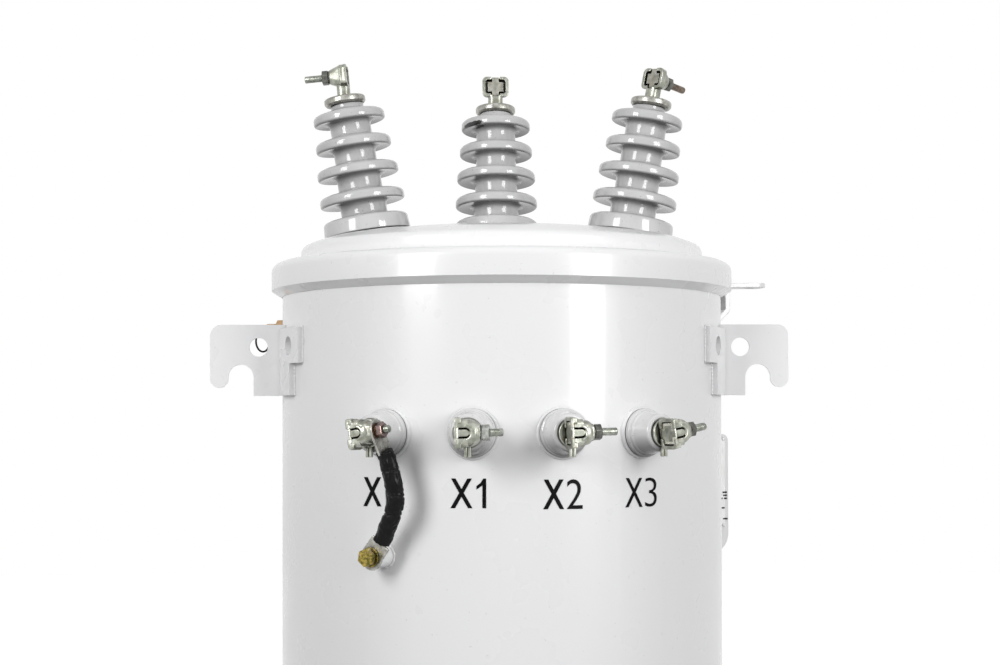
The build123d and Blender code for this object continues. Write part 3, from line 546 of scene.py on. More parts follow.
def seenRays(tree):
    # 1 for camera, glossy and transmission rays, so that metal shows the same background
    rays = addNode(tree, "ShaderNodeLightPath")
    seen = addNode(tree, "ShaderNodeMath", {"operation": "MAXIMUM"},
                   links={0: rays.outputs["Is Camera Ray"], 1: rays.outputs["Is Glossy Ray"]})
    return addNode(tree, "ShaderNodeMath", {"operation": "MAXIMUM"},
                   links={0: seen.outputs[0], 1: rays.outputs["Is Transmission Ray"]}).outputs[0]


def makeLamp(name, s):
    data = bpy.data.lights.new(name, "AREA")
    data.shape = "RECTANGLE"
    data.size, data.size_y = s["size"]
    data.energy = s["watts"]
    lamp = bpy.data.objects.new(name, data)
    lamp.location = s["at"]
    aim = Vector((0, 0, 0.9)) - Vector(s["at"])
    lamp.rotation_euler = aim.to_track_quat("-Z", "Y").to_euler()
    scene.collection.objects.link(lamp)


makeStage(stageSet)
for lampName, settings in lampSet.items():
    makeLamp(lampName, settings)
scene.view_settings.view_transform = "Standard"
print("stage set")


# high-voltage bushings: cup base, four thick sheds and a neck

porcelainSet = {
    "gasket": 2.0,
    "baseRadius": 61.0, "baseTop": 59.5, "baseHeight": 21.5,
    "sheds": [59.7, 57.3, 53.2, 50.4],
    "trunks": [32.6, 31.0, 29.4, 28.8],
    "firstShed": 34.5, "shedPitch": 38.5, "shedRim": 14.0, "shedRise": 6.0, "shedDrip": 4.0,
    "neckRadius": 23.0, "neckHeight": 13.0,
    "chipAzimuth": -49.0,
}


def porcelainTop():
    s = porcelainSet
    return s["baseHeight"] + s["firstShed"] + s["shedPitch"] * 3 + s["neckHeight"]


def chipPlace():
    # middle of the scuff on the rim of the top shed, in metres
    s = porcelainSet
    top = s["gasket"] + s["baseHeight"] + s["firstShed"] + s["shedPitch"] * 3
    axis = highPlace("centre") @ Vector((0, 0, top - 7.4))
    spot = axis + outward(s["chipAzimuth"]) * (s["sheds"][3] - 7)
    return spot * mm


def highBushing(s):
    profile = [(0, 0), (s["baseRadius"], 0), (s["baseTop"], s["baseHeight"])]
    rounds = {1: 1.5, 2: 6.0}
    foot = s["baseHeight"] + s["shedDrip"]
    top = s["baseHeight"] + s["firstShed"]
    for rim, trunk in zip(s["sheds"], s["trunks"]):
        low = top - s["shedRim"]
        first = len(profile)
        profile += [(trunk, foot), (trunk, low + s["shedDrip"]), (rim, low), (rim, top)]
        rounds.update({first: 3.0, first + 1: 8.0, first + 2: 3.4, first + 3: 7.0})
        foot = top + s["shedRise"]
        top += s["shedPitch"]
    profile += [(s["neckRadius"], foot), (s["neckRadius"], porcelainTop()), (0, porcelainTop())]
    rounds[len(profile) - 3] = 3.0
    rounds[len(profile) - 2] = 1.5
    return lathe(profile, rounds)


glaze = glazedPorcelain("fired sky-grey glaze", "C6C6C6", "BEBEBE")
chippedGlaze = glazedPorcelain("fired sky-grey glaze, rubbed through", "C6C6C6", "BEBEBE", chipped=True)
# painted light: the low-voltage bushings get a lighter copy of the high-voltage glaze, for the light their
# faces catch
paintedLitGlaze = glazedPorcelain("fired sky-grey glaze, painted lighter", "D8D8D8", "D0D0D0")
for side in highSides:
    finish("highBushing." + side, highBushing(porcelainSet), chippedGlaze if side == "centre" else glaze,
           highPlace(side, porcelainSet["gasket"]), ["hv_bushing_" + side], sharp=60)
print("high-voltage bushings turned")


# low-voltage bushings: short stepped cones in raised seats

shortSet = {
    "seatRadius": 33.0, "baseRadius": 30.8, "baseHeight": 6.0,
    "step": 2.0, "ringHeight": 11.0, "taperStep": 1.5,
    "noseRadius": 24.0, "noseDrop": 5.0, "length": 37.0, "recess": 18.6, "recessDepth": 1.6,
}


def lowBushing(s):
    ring = s["baseRadius"] - s["step"]
    taper = ring - s["taperStep"]
    deep = s["length"] - s["recessDepth"]
    return lathe(
        [(0, 1.2), (s["baseRadius"], 1.2), (s["baseRadius"], s["baseHeight"]),
         (ring, s["baseHeight"] + s["taperStep"]), (ring, s["ringHeight"]),
         (taper, s["ringHeight"] + s["step"]), (s["noseRadius"], s["length"] - s["noseDrop"]),
         (s["noseRadius"], s["length"]), (s["recess"], s["length"]), (s["recess"], deep), (0, deep)],
        {2: 1.4, 3: 0.7, 4: 1.0, 5: 1.2, 7: 4.4, 8: 0.6})


def seatEdge(s):
    # the pressed seat runs into the wall in one soft curve
    top = tankSet["seatHeight"]
    inner = s["seatRadius"] - 3.4
    return lathe(
        [(inner, top - 0.6), (inner, top + 0.15), (s["seatRadius"] + 0.1, top + 0.15),
         (s["seatRadius"] + 0.9, -1.5), (s["seatRadius"] + 1.6, -4.5), (s["seatRadius"] - 1.5, -4.5)],
        {2: 1.6, 3: 1.6})


def squeezedGasket(s):
    # the ring is pressed a little out of the joint, so that its edge shows round the porcelain
    low, top = tankSet["seatHeight"] - 1.0, tankSet["seatHeight"] + 1.4
    rim = s["baseRadius"] + 0.1
    return lathe([(18, low), (rim, low), (rim, top), (18, top), (18, low)], {1: 0.5, 2: 0.7})


enamel = bakedEnamel()
rubber = nitrileRubber()
squeezed = bmesh.new()
for index in range(4):
    join(squeezed, squeezedGasket(shortSet), lowPlace(index))
finish("lowGaskets", squeezed, rubber, stands=["lv_gaskets"], sharp=50)
for index, name in enumerate(lowNames):
    finish("lowBushing." + name, lowBushing(shortSet), paintedLitGlaze,
           lowPlace(index, tankSet["seatHeight"]), ["lv_bushing_" + name], sharp=50)
    finish("seatEdge." + name, seatEdge(shortSet), enamel, lowPlace(index), sharp=60)
print("low-voltage bushings turned")


capSet = {
    "highRadius": 29.0, "highHeight": 11.0, "highOffset": 2.0,
    "lowRadius": 17.8, "lowHeight": 4.5, "tabWidth": 9.0, "tabDrop": 30.0,
}


def highCapPlace(side):
    return highPlace(side, porcelainSet["gasket"] + porcelainTop()) @ move(capSet["highOffset"], 0, 0)


def highCap(s):
    r, h = s["highRadius"], s["highHeight"]
    return lathe([(0, 0), (r - 2.5, 0), (r, 3.0), (r, h), (r - 6, h), (r - 7, h - 0.8), (0, h - 0.8)],
                 {1: 1.2, 2: 1.5, 3: 3.4, 4: 0.8})


def lowCap(s):
    # disc with a locking tab, creased along its middle
    r, h = s["lowRadius"], s["lowHeight"]
    cap = lathe([(0, 0), (r, 0), (r, h), (r - 4, h), (r - 5, h - 0.5), (0, h - 0.5)], {2: 1.4, 3: 0.5})
    long = s["tabDrop"] - 10
    for side in (-1, 1):
        leg = block(s["tabWidth"] / 2 - 0.4, long, h, 1.1)
        join(cap, leg, move(side * (s["tabWidth"] / 4 + 0.2), -10 - long / 2, h / 2))
    join(cap, block(s["tabWidth"] - 0.8, long - 2, h - 1.6, 0.5), move(0, -10 - long / 2, h / 2 - 0.4))
    return cap


tinDisc = turnedTin()
caps = bmesh.new()
for side in highSides:
    join(caps, highCap(capSet), highCapPlace(side))
finish("highCaps", caps, tinDisc, stands=["hv_caps"], sharp=50)
casting = tinnedBronze("hot-tinned cast bronze", "B6B8AE", "85887D")
# painted light: a lighter copy of the cast bronze, with only faint darkening in its grooves, for the mouth
# plates that sit in shade
paintedLitCasting = plainScrew("hot-tinned bronze, painted lighter", "E8E8DC", "CECEC0", "9A9A8E")
darkCasting = tinnedBronze("hot-tinned cast bronze, tarnished", "AAA9A0", "808076")
caps = bmesh.new()
for index in range(4):
    join(caps, lowCap(capSet), lowPlace(index, tankSet["seatHeight"] + shortSet["length"]))
finish("lowCaps", caps, casting, stands=["lv_caps"], sharp=50)
print("caps made")


# conductor clamps: castings, pressure jaws and screws

clampSet = {
    "width": 39.0, "height": 30.0, "slot": 13.0,
    "high": {"front": 7.5, "back": 2.0, "slotEnd": 3.0, "post": 15.0,
             "bossEnd": 17.5, "shallow": 0.97, "narrow": 0.97},
    "low": {"front": 11.5, "back": 5.0, "slotEnd": 8.0, "post": 3.0,
            "bossEnd": 22.4, "shallow": 0.88, "narrow": 0.86},
    "flange": 4.0,                # thickness of the front flange, which stays at full width
    "faced": [0.0, 3.2, 3.2, 3.2],     # taken off the bosses of X0 to X3
    "voxel": 0.5,
    "lipRadius": 2.4,             # bead round the mouth of each slot
    "padSize": (8.5, 7.0, 5.0), "padRound": 1.4,
    "hoodAt": 11.0, "hoodSize": (9.5, 15.2, 14.4),
    "mouth": (3.0, 27.6, 26.2), "mouthRound": 1.4, "mouthIn": 3.2,
}
screwSet = {
    "radius": 4.9, "pitch": 1.5, "threadDepth": 0.22,
    "nutFlats": 18.0, "nutHeight": 9.0, "washer": 1.9, "washerRadius": 9.4,
    "highReach": 24.2, "rightLonger": 5.0, "lowReach": [7.0, 15.9, 20.4, 20.4],
    "lugGap": 3.0, "thinNut": 7.6,     # X0 holds the strap's lug under a thinner nut
}


def highClampPlace(side):
    s = highSides[side]
    lift = clampSet["high"]["post"] + clampSet["height"] / 2
    return (highCapPlace(side) @ move(0, 0, capSet["highHeight"]) @ turn(-s["tip"], "Y")
            @ turn(s["turn"], "Z") @ move(0, 0, lift))


def lowClampPlace(index):
    lift = (tankSet["seatHeight"] + shortSet["length"] + capSet["lowHeight"]
            + clampSet["low"]["post"] + clampSet["height"] / 2)
    return lowPlace(index, lift) @ turn(lowTurns[index], "Z")


def arcBead(radius, thick, start, end, steps=20):
    # part of a ring round Z
    mesh = bmesh.new()
    bmesh.ops.create_circle(mesh, cap_ends=True, segments=12, radius=thick)
    bmesh.ops.transform(mesh, matrix=turn(start, "Z") @ move(radius, 0, 0) @ turn(90, "X"), verts=mesh.verts)
    bmesh.ops.spin(mesh, geom=mesh.verts[:] + mesh.edges[:] + mesh.faces[:], cent=(0, 0, 0),
                   axis=(0, 0, 1), dvec=(0, 0, 0), angle=math.radians(end - start), steps=steps)
    bmesh.ops.remove_doubles(mesh, verts=mesh.verts, dist=0.001)
    bmesh.ops.recalc_face_normals(mesh, faces=mesh.faces)
    return mesh


def narrowBarrel(body, kind, shorter):
    # behind its front flange the casting is narrower and shallower, and its boss may be faced off
    s = clampSet[kind]
    behind = clampSet["flange"] - s["front"]
    for cut in (-0.6, 0.6):
        bmesh.ops.bisect_plane(body, geom=body.verts[:] + body.edges[:] + body.faces[:],
                               plane_co=(behind + cut, 0, 0), plane_no=(1, 0, 0))
    for vertex in body.verts:
        if vertex.co.x > behind:
            vertex.co.z *= s["shallow"]
            if abs(vertex.co.y) > clampSet["slot"] / 2 + 0.5:
                vertex.co.y *= s["narrow"]
        if vertex.co.x > s["bossEnd"] - 8.0:
            vertex.co.x -= shorter


def clampExtras(kind):
    # what the pattern maker adds: lips at the slots, pads on the prongs, a round hood on the boss
    s = clampSet[kind]
    half = clampSet["height"] / 2
    lip = clampSet["lipRadius"]
    edge = clampSet["slot"] / 2 + lip - 0.3
    extras = bmesh.new()
    for up in (-1, 1):
        for side in (-1, 1):
            knob = rod(lip, 4.4, 1.2)
            join(extras, knob, move(-s["front"] - 0.3, side * edge, up * (half - lip - 0.1)) @ turn(90, "Y"))
    if kind == "high":
        return extras
    middle = s["slotEnd"] - clampSet["slot"] / 2
    for up in (-1, 1):
        rim = arcBead(edge - 0.4, 1.9, -84, 84)
        join(extras, rim, move(middle, 0, up * (half - 2.3)))
        for side in (-1, 1):
            pad = block(*clampSet["padSize"], clampSet["padRound"])
            outer = clampSet["width"] / 2 - 4.4
            join(extras, pad, move(-s["front"] + 4.2, side * outer, up * (half - 2.9)))
    hood = bmesh.new()
    bmesh.ops.create_uvsphere(hood, u_segments=32, v_segments=20, radius=1.0)
    join(extras, hood, move(clampSet["hoodAt"], 0, 0) @ Matrix.Diagonal((*clampSet["hoodSize"], 1)))
    return extras


def makeClamp(name, nodeName, kind, place, shorter=0.0):
    body = copyOf(nodeName)
    bmesh.ops.transform(body, matrix=place.inverted(), verts=body.verts)
    narrowBarrel(body, kind, shorter)
    join(body, clampExtras(kind))
    bmesh.ops.transform(body, matrix=place, verts=body.verts)
    piece = finish(name, body, casting, stands=[nodeName])
    melt(piece, clampSet["voxel"], 3)


def hexNut(flats, height):
    # chamfered on both faces, with its bore left to the screw
    nut = bmesh.new()
    bmesh.ops.create_cone(nut, cap_ends=True, segments=6, radius1=flats / math.sqrt(3),
                          radius2=flats / math.sqrt(3), depth=height)
    bmesh.ops.bevel(nut, geom=[e for e in nut.edges if abs(e.verts[0].co.z - e.verts[1].co.z) > 1],
                    offset=0.5, offset_type="OFFSET", segments=2, profile=0.5, affect="EDGES", material=-1)
    caps = [f for f in nut.faces if abs(f.normal.z) > 0.9]
    bmesh.ops.inset_region(nut, faces=caps, thickness=0.9, depth=0.0, use_even_offset=True)
    for face in caps:
        bmesh.ops.translate(nut, vec=(0, 0, 0.7 if face.normal.z > 0 else -0.7), verts=face.verts)
    bmesh.ops.scale(nut, vec=(1, 1, height / (height + 1.4)), verts=nut.verts)
    bmesh.ops.translate(nut, vec=(0, 0, height / 2), verts=nut.verts)
    return nut


def thread(radius, length, pitch, depth):
    # one turn of the rolled thread, carried along the screw, with a chamfered tip
    mesh = bmesh.new()
    turns = max(1, int(length / pitch))
    heights = [0.0, pitch * 0.42, pitch * 0.5, pitch * 0.92, pitch]
    depths = [depth, 0.0, 0.0, depth, depth]
    corners = [mesh.verts.new((radius - d, 0, h)) for h, d in zip(heights, depths)]
    for first, second in zip(corners, corners[1:]):
        mesh.edges.new((first, second))
    bmesh.ops.spin(mesh, geom=mesh.verts[:] + mesh.edges[:], cent=(0, 0, 0), axis=(0, 0, 1),
                   dvec=(0, 0, pitch / 24), angle=math.tau * (turns - 1), steps=24 * (turns - 1))
    bmesh.ops.remove_doubles(mesh, verts=mesh.verts, dist=0.01)
    bmesh.ops.recalc_face_normals(mesh, faces=mesh.faces)
    core = rod(radius - depth * 0.6, length + 0.4, 1.2, 24)
    return join(mesh, core)


def lockWasher(radius, bore, thick):
    # spring washer: a ring of square wire, cut through and wound a little out of flat
    mesh = bmesh.new()
    wide = radius - bore
    bmesh.ops.create_grid(mesh, x_segments=1, y_segments=1, size=0.5)
    bmesh.ops.transform(mesh, matrix=turn(-72, "Z") @ move(bore + wide / 2, 0, 0) @ turn(90, "X")
                        @ Matrix.Diagonal((wide, thick, 1, 1)), verts=mesh.verts)
    bmesh.ops.spin(mesh, geom=mesh.verts[:] + mesh.edges[:] + mesh.faces[:], cent=(0, 0, 0),
                   axis=(0, 0, 1), dvec=(0, 0, 0.9 / 40), angle=math.radians(344), steps=40)
    bmesh.ops.remove_doubles(mesh, verts=mesh.verts, dist=0.001)
    bmesh.ops.recalc_face_normals(mesh, faces=mesh.faces)
    bmesh.ops.translate(mesh, vec=(0, 0, thick / 2), verts=mesh.verts)
    return mesh


def screwParts(kind, reach, extraGap, nutTurn, nutHeight):
    # the shank from the jaw to its tip, and the nut with its spring washer
    s = clampSet[kind]
    face = s["bossEnd"] + extraGap
    start = 6.5 - s["front"]
    shank = rod(screwSet["radius"] - 0.4, face - start, 0.3, 24)
    bmesh.ops.translate(shank, vec=(0, 0, start), verts=shank.verts)
    threaded = thread(screwSet["radius"], reach + nutHeight, screwSet["pitch"], screwSet["threadDepth"])
    seat = move(0, 0, face + screwSet["washer"])
    join(shank, threaded, seat)
    nut = hexNut(screwSet["nutFlats"], nutHeight)
    bmesh.ops.transform(nut, matrix=seat @ turn(nutTurn, "Z"), verts=nut.verts)
    ring = lockWasher(screwSet["washerRadius"], screwSet["radius"] + 0.3, screwSet["washer"] - 0.9)
    bmesh.ops.translate(ring, vec=(0, 0, face), verts=ring.verts)
    return shank, nut, ring


greyNut = plainScrew("machined tinned bronze", "BBBDB8", "92958F", "2C2C28")
darkNut = plainScrew("machined steel, oiled", "74746E", "525250", "1E1D1A")
brownNut = plainScrew("machined silicon bronze", "8E7A72", "6F6064", "2E2220")
copperWasher = plainScrew("stamped silicon bronze", "B0845F", "8F6A4E", "43291A")
brightScrew = plainScrew("rolled tinned screw thread", "9FA29A", "74776E", "3C3C35")
brownScrew = plainScrew("rolled bronze screw thread", "7F7267", "574D45", "3A302A")

for side in highSides:
    makeClamp("highClamp." + side, "hv_clamp_" + side, "high", highClampPlace(side))
for index, name in enumerate(lowNames):
    makeClamp("lowClamp." + name, "lv_clamp_" + name, "low", lowClampPlace(index), clampSet["faced"][index])
print("clamp castings made")

screws, brownScrews, highNuts = bmesh.new(), bmesh.new(), bmesh.new()
for side in highSides:
    reach = screwSet["highReach"] + (screwSet["rightLonger"] if side == "right" else 0.0)
    shank, nut, ring = screwParts("high", reach, 0.0, 12, screwSet["nutHeight"])
    place = highClampPlace(side) @ turn(90, "Y")
    join(brownScrews if side == "right" else screws, shank, place)
    join(highNuts, nut, place)
    join(highNuts, ring, place)
finish("highScrews", screws, brightScrew, stands=["hv_clamp_screws"], sharp=30)
finish("highScrew.right", brownScrews, brownScrew, sharp=30)
finish("highNuts", highNuts, darkNut, sharp=30)

screws, rings = bmesh.new(), bmesh.new()
lowNuts = [bmesh.new(), bmesh.new(), bmesh.new()]     # of X0, of X1, and of X2 and X3
for index in range(4):
    extraGap = -clampSet["faced"][index] if index else screwSet["lugGap"]
    nutHeight = screwSet["nutHeight"] if index else screwSet["thinNut"]
    shank, nut, ring = screwParts("low", screwSet["lowReach"][index], extraGap, 3 + 7 * index, nutHeight)
    place = lowClampPlace(index) @ turn(90, "Y")
    join(screws, shank, place)
    join(lowNuts[min(index, 2)], nut, place)
    join(rings if index == 0 else lowNuts[min(index, 2)], ring, place)
finish("lowScrews", screws, brightScrew, stands=["lv_clamp_screws"], sharp=30)
finish("lowNut.x0", lowNuts[0], brownNut, sharp=30)
finish("lowNut.x1", lowNuts[1], greyNut, sharp=30)
finish("lowNuts.x2x3", lowNuts[2], darkNut, sharp=30)
finish("lockWasher.x0", rings, copperWasher, sharp=30)


def squeezeJaws(nodeName, kind, places):
    # each jaw is drawn in with the narrowed barrel, and left a little loose in it
    jaws = copyOf(nodeName)
    reach = 32     # no other jaw comes this near to a clamp's middle
    narrow = clampSet[kind]["narrow"] - 0.04
    shallow = clampSet[kind]["shallow"] - 0.02
    for place in places:
        back = place.inverted()
        for vertex in jaws.verts:
            local = back @ vertex.co
            if local.length < reach:
                vertex.co = place @ Vector((local.x, local.y * narrow, local.z * shallow))
    return jaws


highPlaces = [highClampPlace(side) for side in highSides]
lowPlaces = [lowClampPlace(index) for index in range(4)]
jaws = finish("highJaws", squeezeJaws("hv_clamp_jaws", "high", highPlaces), darkCasting,
              stands=["hv_clamp_jaws"])
melt(jaws, 0.4, 3)
jaws = finish("lowJaws", squeezeJaws("lv_clamp_jaws", "low", lowPlaces), casting,
              stands=["lv_clamp_jaws"])
melt(jaws, 0.4, 3)
# the mouth plates wear the lighter copy of the casting finish, as painted light
mouths = bmesh.new()
for place in lowPlaces:
    plate = block(*clampSet["mouth"], clampSet["mouthRound"])
    join(mouths, plate, place @ move(clampSet["mouthIn"] - clampSet["low"]["front"], 0, 0))
finish("lowMouths", mouths, paintedLitCasting)
print("screws, nuts and jaws made")


# ground strap: sleeve, lugs and bolt

strapSet = {
    "wrinkle": 1.15,              # depth of the folds in the sleeve
    "swell": 2.0,                 # the flat braid makes it wider than it is deep
    "creases": [(736.5, 0.30), (732.0, -0.15), (713.0, 0.35), (708.0, -0.2), (765.0, 0.5)],
    "bossAzimuth": -33.0, "bossDrop": 379.0, "bossLength": 29.0, "lug": 3.0, "eye": 15.0,
}


def fineSleeve():
    # the plain sleeve with a mesh fine enough to fold
    mesh = copyOf("ground_strap")
    bmesh.ops.subdivide_edges(mesh, edges=[e for e in mesh.edges if e.calc_length() > 3.0], cuts=2,
                              use_grid_fill=True)
    bmesh.ops.triangulate(mesh, faces=mesh.faces)
    return mesh


def foldSleeve(piece, s):
    # drawn tight over the braid: lengthwise folds, and rings of creases where it bends
    graph = bpy.context.evaluated_depsgraph_get()
    data = bpy.data.meshes.new_from_object(piece.evaluated_get(graph))
    piece.modifiers.clear()
    normals = [v.normal.copy() for v in data.vertices]
    for vertex, normal in zip(data.vertices, normals):
        at = vertex.co / mm
        slow = noise.noise(Vector((at.x / 9, at.y / 9, at.z / 16)))
        fold = abs(noise.noise(Vector((at.x / 5.0 + 7, at.y / 5.0, at.z / 11 + 3))))
        crumple = 1 - abs(noise.noise(Vector((at.x / 15, at.y / 15, at.z / 3.2)))) * 2
        depth = 0.7 * slow - 1.3 * fold + 0.45 * crumple * max(0.0, slow + 0.4)
        for height, slope in s["creases"]:
            away = at.z - height - slope * (at.x + 150) * 0.3
            depth -= 0.9 * math.exp(-(away / 1.1) ** 2)
        swell = s["swell"] * abs(normal.x)
        vertex.co += normal * (depth * s["wrinkle"] + swell) * mm
    data.shade_smooth()
    piece.data = data


sleeve = finish("strapSleeve", fineSleeve(), shrinkSleeve(), stands=["ground_strap"])
melt(sleeve, 0.9, 2)
foldSleeve(sleeve, strapSet)
boltPlace = wallPlace(strapSet["bossAzimuth"], tankRadius + strapSet["bossLength"] + strapSet["lug"],
                      tankTop - strapSet["bossDrop"]) @ turn(90, "Y")
for end in ("upper", "lower"):
    shape = copyOf("strap_lug_" + end)
    if end == "lower":
        eye = rod(strapSet["eye"], strapSet["lug"], 0.6, 48)
        join(shape, eye, boltPlace @ move(1.5, 1.5, -strapSet["lug"]))
    lug = finish("strapLug." + end, shape, tinDisc, stands=["strap_lug_" + end])
    melt(lug, 0.45, 3)


boltSet = {
    "flats": 20.6, "headHeight": 7.6, "headUp": 5.0, "headTurn": 20,
    "faceRadius": 8.3, "faceHeight": 12.1, "faceUp": 0.4,      # turned face that stands out of the hexagon
    "washerRadius": 12.6, "washer": 1.9, "shankRadius": 6.0, "shank": 24, "shankUp": -20,
    "ringRadius": 11.0, "ringBore": 6.4, "ringThick": 2.1, "ringUp": 2.0,
}


def groundBolt(s):
    bolt = hexNut(s["flats"], s["headHeight"])
    bmesh.ops.transform(bolt, matrix=move(0, 0, s["headUp"]) @ turn(s["headTurn"], "Z"), verts=bolt.verts)
    join(bolt, rod(s["faceRadius"], s["faceHeight"], 0.6, 40), move(0, 0, s["faceUp"]))
    join(bolt, rod(s["washerRadius"], s["washer"], 0.4, 40))
    join(bolt, rod(s["shankRadius"], s["shank"], 0.5, 32), move(0, 0, s["shankUp"]))
    join(bolt, lockWasher(s["ringRadius"], s["ringBore"], s["ringThick"]), move(0, 0, s["ringUp"]))
    return bolt


finish("groundBolt", groundBolt(boltSet), yellowZinc(), boltPlace, ["ground_bolt"], sharp=30)
print("ground strap made")


letterSet = {
    "height": 37.0, "top": 753.4, "lift": 0.5,
    # character, azimuth of its middle, its width, and how much bolder than the font's own stroke
    "rows": [("X", -36.4, 28.4, 0.018), ("0", -30.8, 19.0, 0.0), ("X", -13.3, 27.8, 0.014),
             ("1", -8.6, 12.0, 0.0), ("X", 8.45, 26.8, 0.018), ("2", 13.6, 21.0, -0.004),
             ("X", 29.6, 27.4, 0.004), ("3", 34.8, 20.5, -0.012)],
    "drops": [-1.0, -1.0, 0.0, 0.0, 1.6, 1.6, 0.8, 0.8],
}


def plainOne(height):
    # a bar with a short flag, which the built-in font lacks
    one = bmesh.new()
    drawn = 37     # height at which the outline is given
    outline = [(6, 0), (6, drawn), (2.6, drawn), (-0.8, 31.6), (-6, 27.6), (-6, 23.2), (1.4, 28.4), (1.4, 0)]
    one.faces.new([one.verts.new((x, y * height / drawn, 0)) for x, y in outline])
    one.normal_update()
    bmesh.ops.triangulate(one, faces=one.faces)
    return one


def fontLetter(character, width, height, bold):
    text = bpy.data.curves.new("letter", "FONT")
    text.body = character
    text.size = 1.0
    text.offset = bold
    holder = bpy.data.objects.new("letter", text)
    scene.collection.objects.link(holder)
    flat = bpy.data.meshes.new_from_object(holder.evaluated_get(bpy.context.evaluated_depsgraph_get()))
    bpy.data.objects.remove(holder)
    letter = bmesh.new()
    letter.from_mesh(flat)
    bpy.data.meshes.remove(flat)
    low = Vector([min(v.co[i] for v in letter.verts) for i in range(3)])
    high = Vector([max(v.co[i] for v in letter.verts) for i in range(3)])
    for vertex in letter.verts:
        vertex.co.x = (vertex.co.x - (low.x + high.x) / 2) / (high.x - low.x) * width
        vertex.co.y = (vertex.co.y - low.y) / (high.y - low.y) * height
    return letter


def wallLetter(character, azimuth, width, bold, top, s):
    # wrapped round the wall
    if character == "1":
        letter = plainOne(s["height"])
    else:
        letter = fontLetter(character, width, s["height"], bold)
    for cut in (-8, -4, 0, 4, 8):
        bmesh.ops.bisect_plane(letter, geom=letter.verts[:] + letter.edges[:] + letter.faces[:],
                               plane_co=(cut, 0, 0), plane_no=(1, 0, 0))
    for vertex in letter.verts:
        angle = azimuth + math.degrees(vertex.co.x / tankRadius)
        around = outward(angle) * (tankRadius + s["lift"])
        vertex.co = (around.x, around.y, top - s["height"] + vertex.co.y)
    return letter


letters = bmesh.new()
for (character, azimuth, width, bold), drop in zip(letterSet["rows"], letterSet["drops"]):
    join(letters, wallLetter(character, azimuth, width, bold, letterSet["top"] - drop, letterSet))
finish("terminalLetters", letters, stencilInk(), sharp=180)
print("letters set")


weldSet = {
    "step": 1.6, "ripple": 0.22,
    # flange of a lifting lug: degrees from its middle line, and millimetres under the rim
    "lugTurned": -2.5, "lugEdge": 60.8, "lugLower": 66.0, "lugRoot": 76.0, "lugBend": 76.8,
    "lugTop": 82.5, "lugLedge": 130.5, "lugLow": 173.0, "bendTop": 78.0, "bendLow": 172.0,
    "bossRing": 14.6, "padRing": 23.0, "padAzimuth": 160.0, "padHeight": 70.0,
    # pole hangers: the upper one's middle under the rim, their distance, half their height, their edges
    "hangerDrop": 199.0, "hangerApart": 590.6, "hangerHalf": 65, "hangerEdge": 18.0,
    "bracketEdges": (96.4, 103.6), "bracketTop": 72.0, "bracketLow": 149.0,
    "seamAzimuth": 150.0, "seamLow": 30.0, "seamTop": 45.0,
}


def weldBead(points, radius, closed=False, seed=1):
    # a bead laid in small overlapping puddles along a line
    random.seed(seed)
    line = bpy.data.curves.new("bead", "CURVE")
    line.dimensions = "3D"
    line.bevel_depth = radius
    line.bevel_resolution = 3
    line.use_fill_caps = True
    spots = []
    for first, second in zip(points, points[1:] + (points[:1] if closed else [])):
        count = max(1, int((second - first).length / weldSet["step"]))
        spots += [first.lerp(second, n / count) for n in range(count)]
    spots += [] if closed else [points[-1]]
    spline = line.splines.new("POLY")
    spline.points.add(len(spots) - 1)
    for n, (spot, point) in enumerate(zip(spots, spline.points)):
        point.co = (*spot, 1)
        point.radius = 1 + weldSet["ripple"] * (1 if n % 3 else -1) + random.uniform(-0.08, 0.08)
    spline.use_cyclic_u = closed
    holder = bpy.data.objects.new("bead", line)
    scene.collection.objects.link(holder)
    data = bpy.data.meshes.new_from_object(holder.evaluated_get(bpy.context.evaluated_depsgraph_get()))
    bpy.data.objects.remove(holder)
    bead = bmesh.new()
    bead.from_mesh(data)
    bpy.data.meshes.remove(data)
    bmesh.ops.remove_doubles(bead, verts=bead.verts, dist=0.001)
    bmesh.ops.recalc_face_normals(bead, faces=bead.faces)
    return bead


def onWall(azimuth, height, out=0.0):
    return outward(azimuth) * (tankRadius + out) + Vector((0, 0, height))


def wallRing(centre, radius, lift, count=40):
    # circle round a boss on the wall
    azimuth, height = centre
    spots = []
    for n in range(count):
        angle = math.tau * n / count
        side = math.degrees(radius * math.cos(angle) / tankRadius)
        spots.append(onWall(azimuth + side, height + radius * math.sin(angle), lift))
    return spots


def wallLine(azimuth, start, end, out):
    return [onWall(azimuth, start, out), onWall(azimuth, end, out)]


def wallArc(start, end, height, out):
    count = max(2, int(abs(end - start) / 0.6))
    return [onWall(start + (end - start) * n / count, height, out) for n in range(count + 1)]


def lugBeads(sign, s):
    # round the flange of a lifting lug; sign is 1 for the right one
    edge, lower, root = (sign * s[name] + s["lugTurned"] for name in ("lugEdge", "lugLower", "lugRoot"))
    top, ledge, low = (tankTop - s[name] for name in ("lugTop", "lugLedge", "lugLow"))
    return [wallArc(edge, root, top, 0.4), wallLine(edge, top, ledge, 0.4), wallArc(edge, lower, ledge, 0.4),
            wallLine(lower, ledge, low, 0.4), wallArc(lower, root, low, 0.4)]


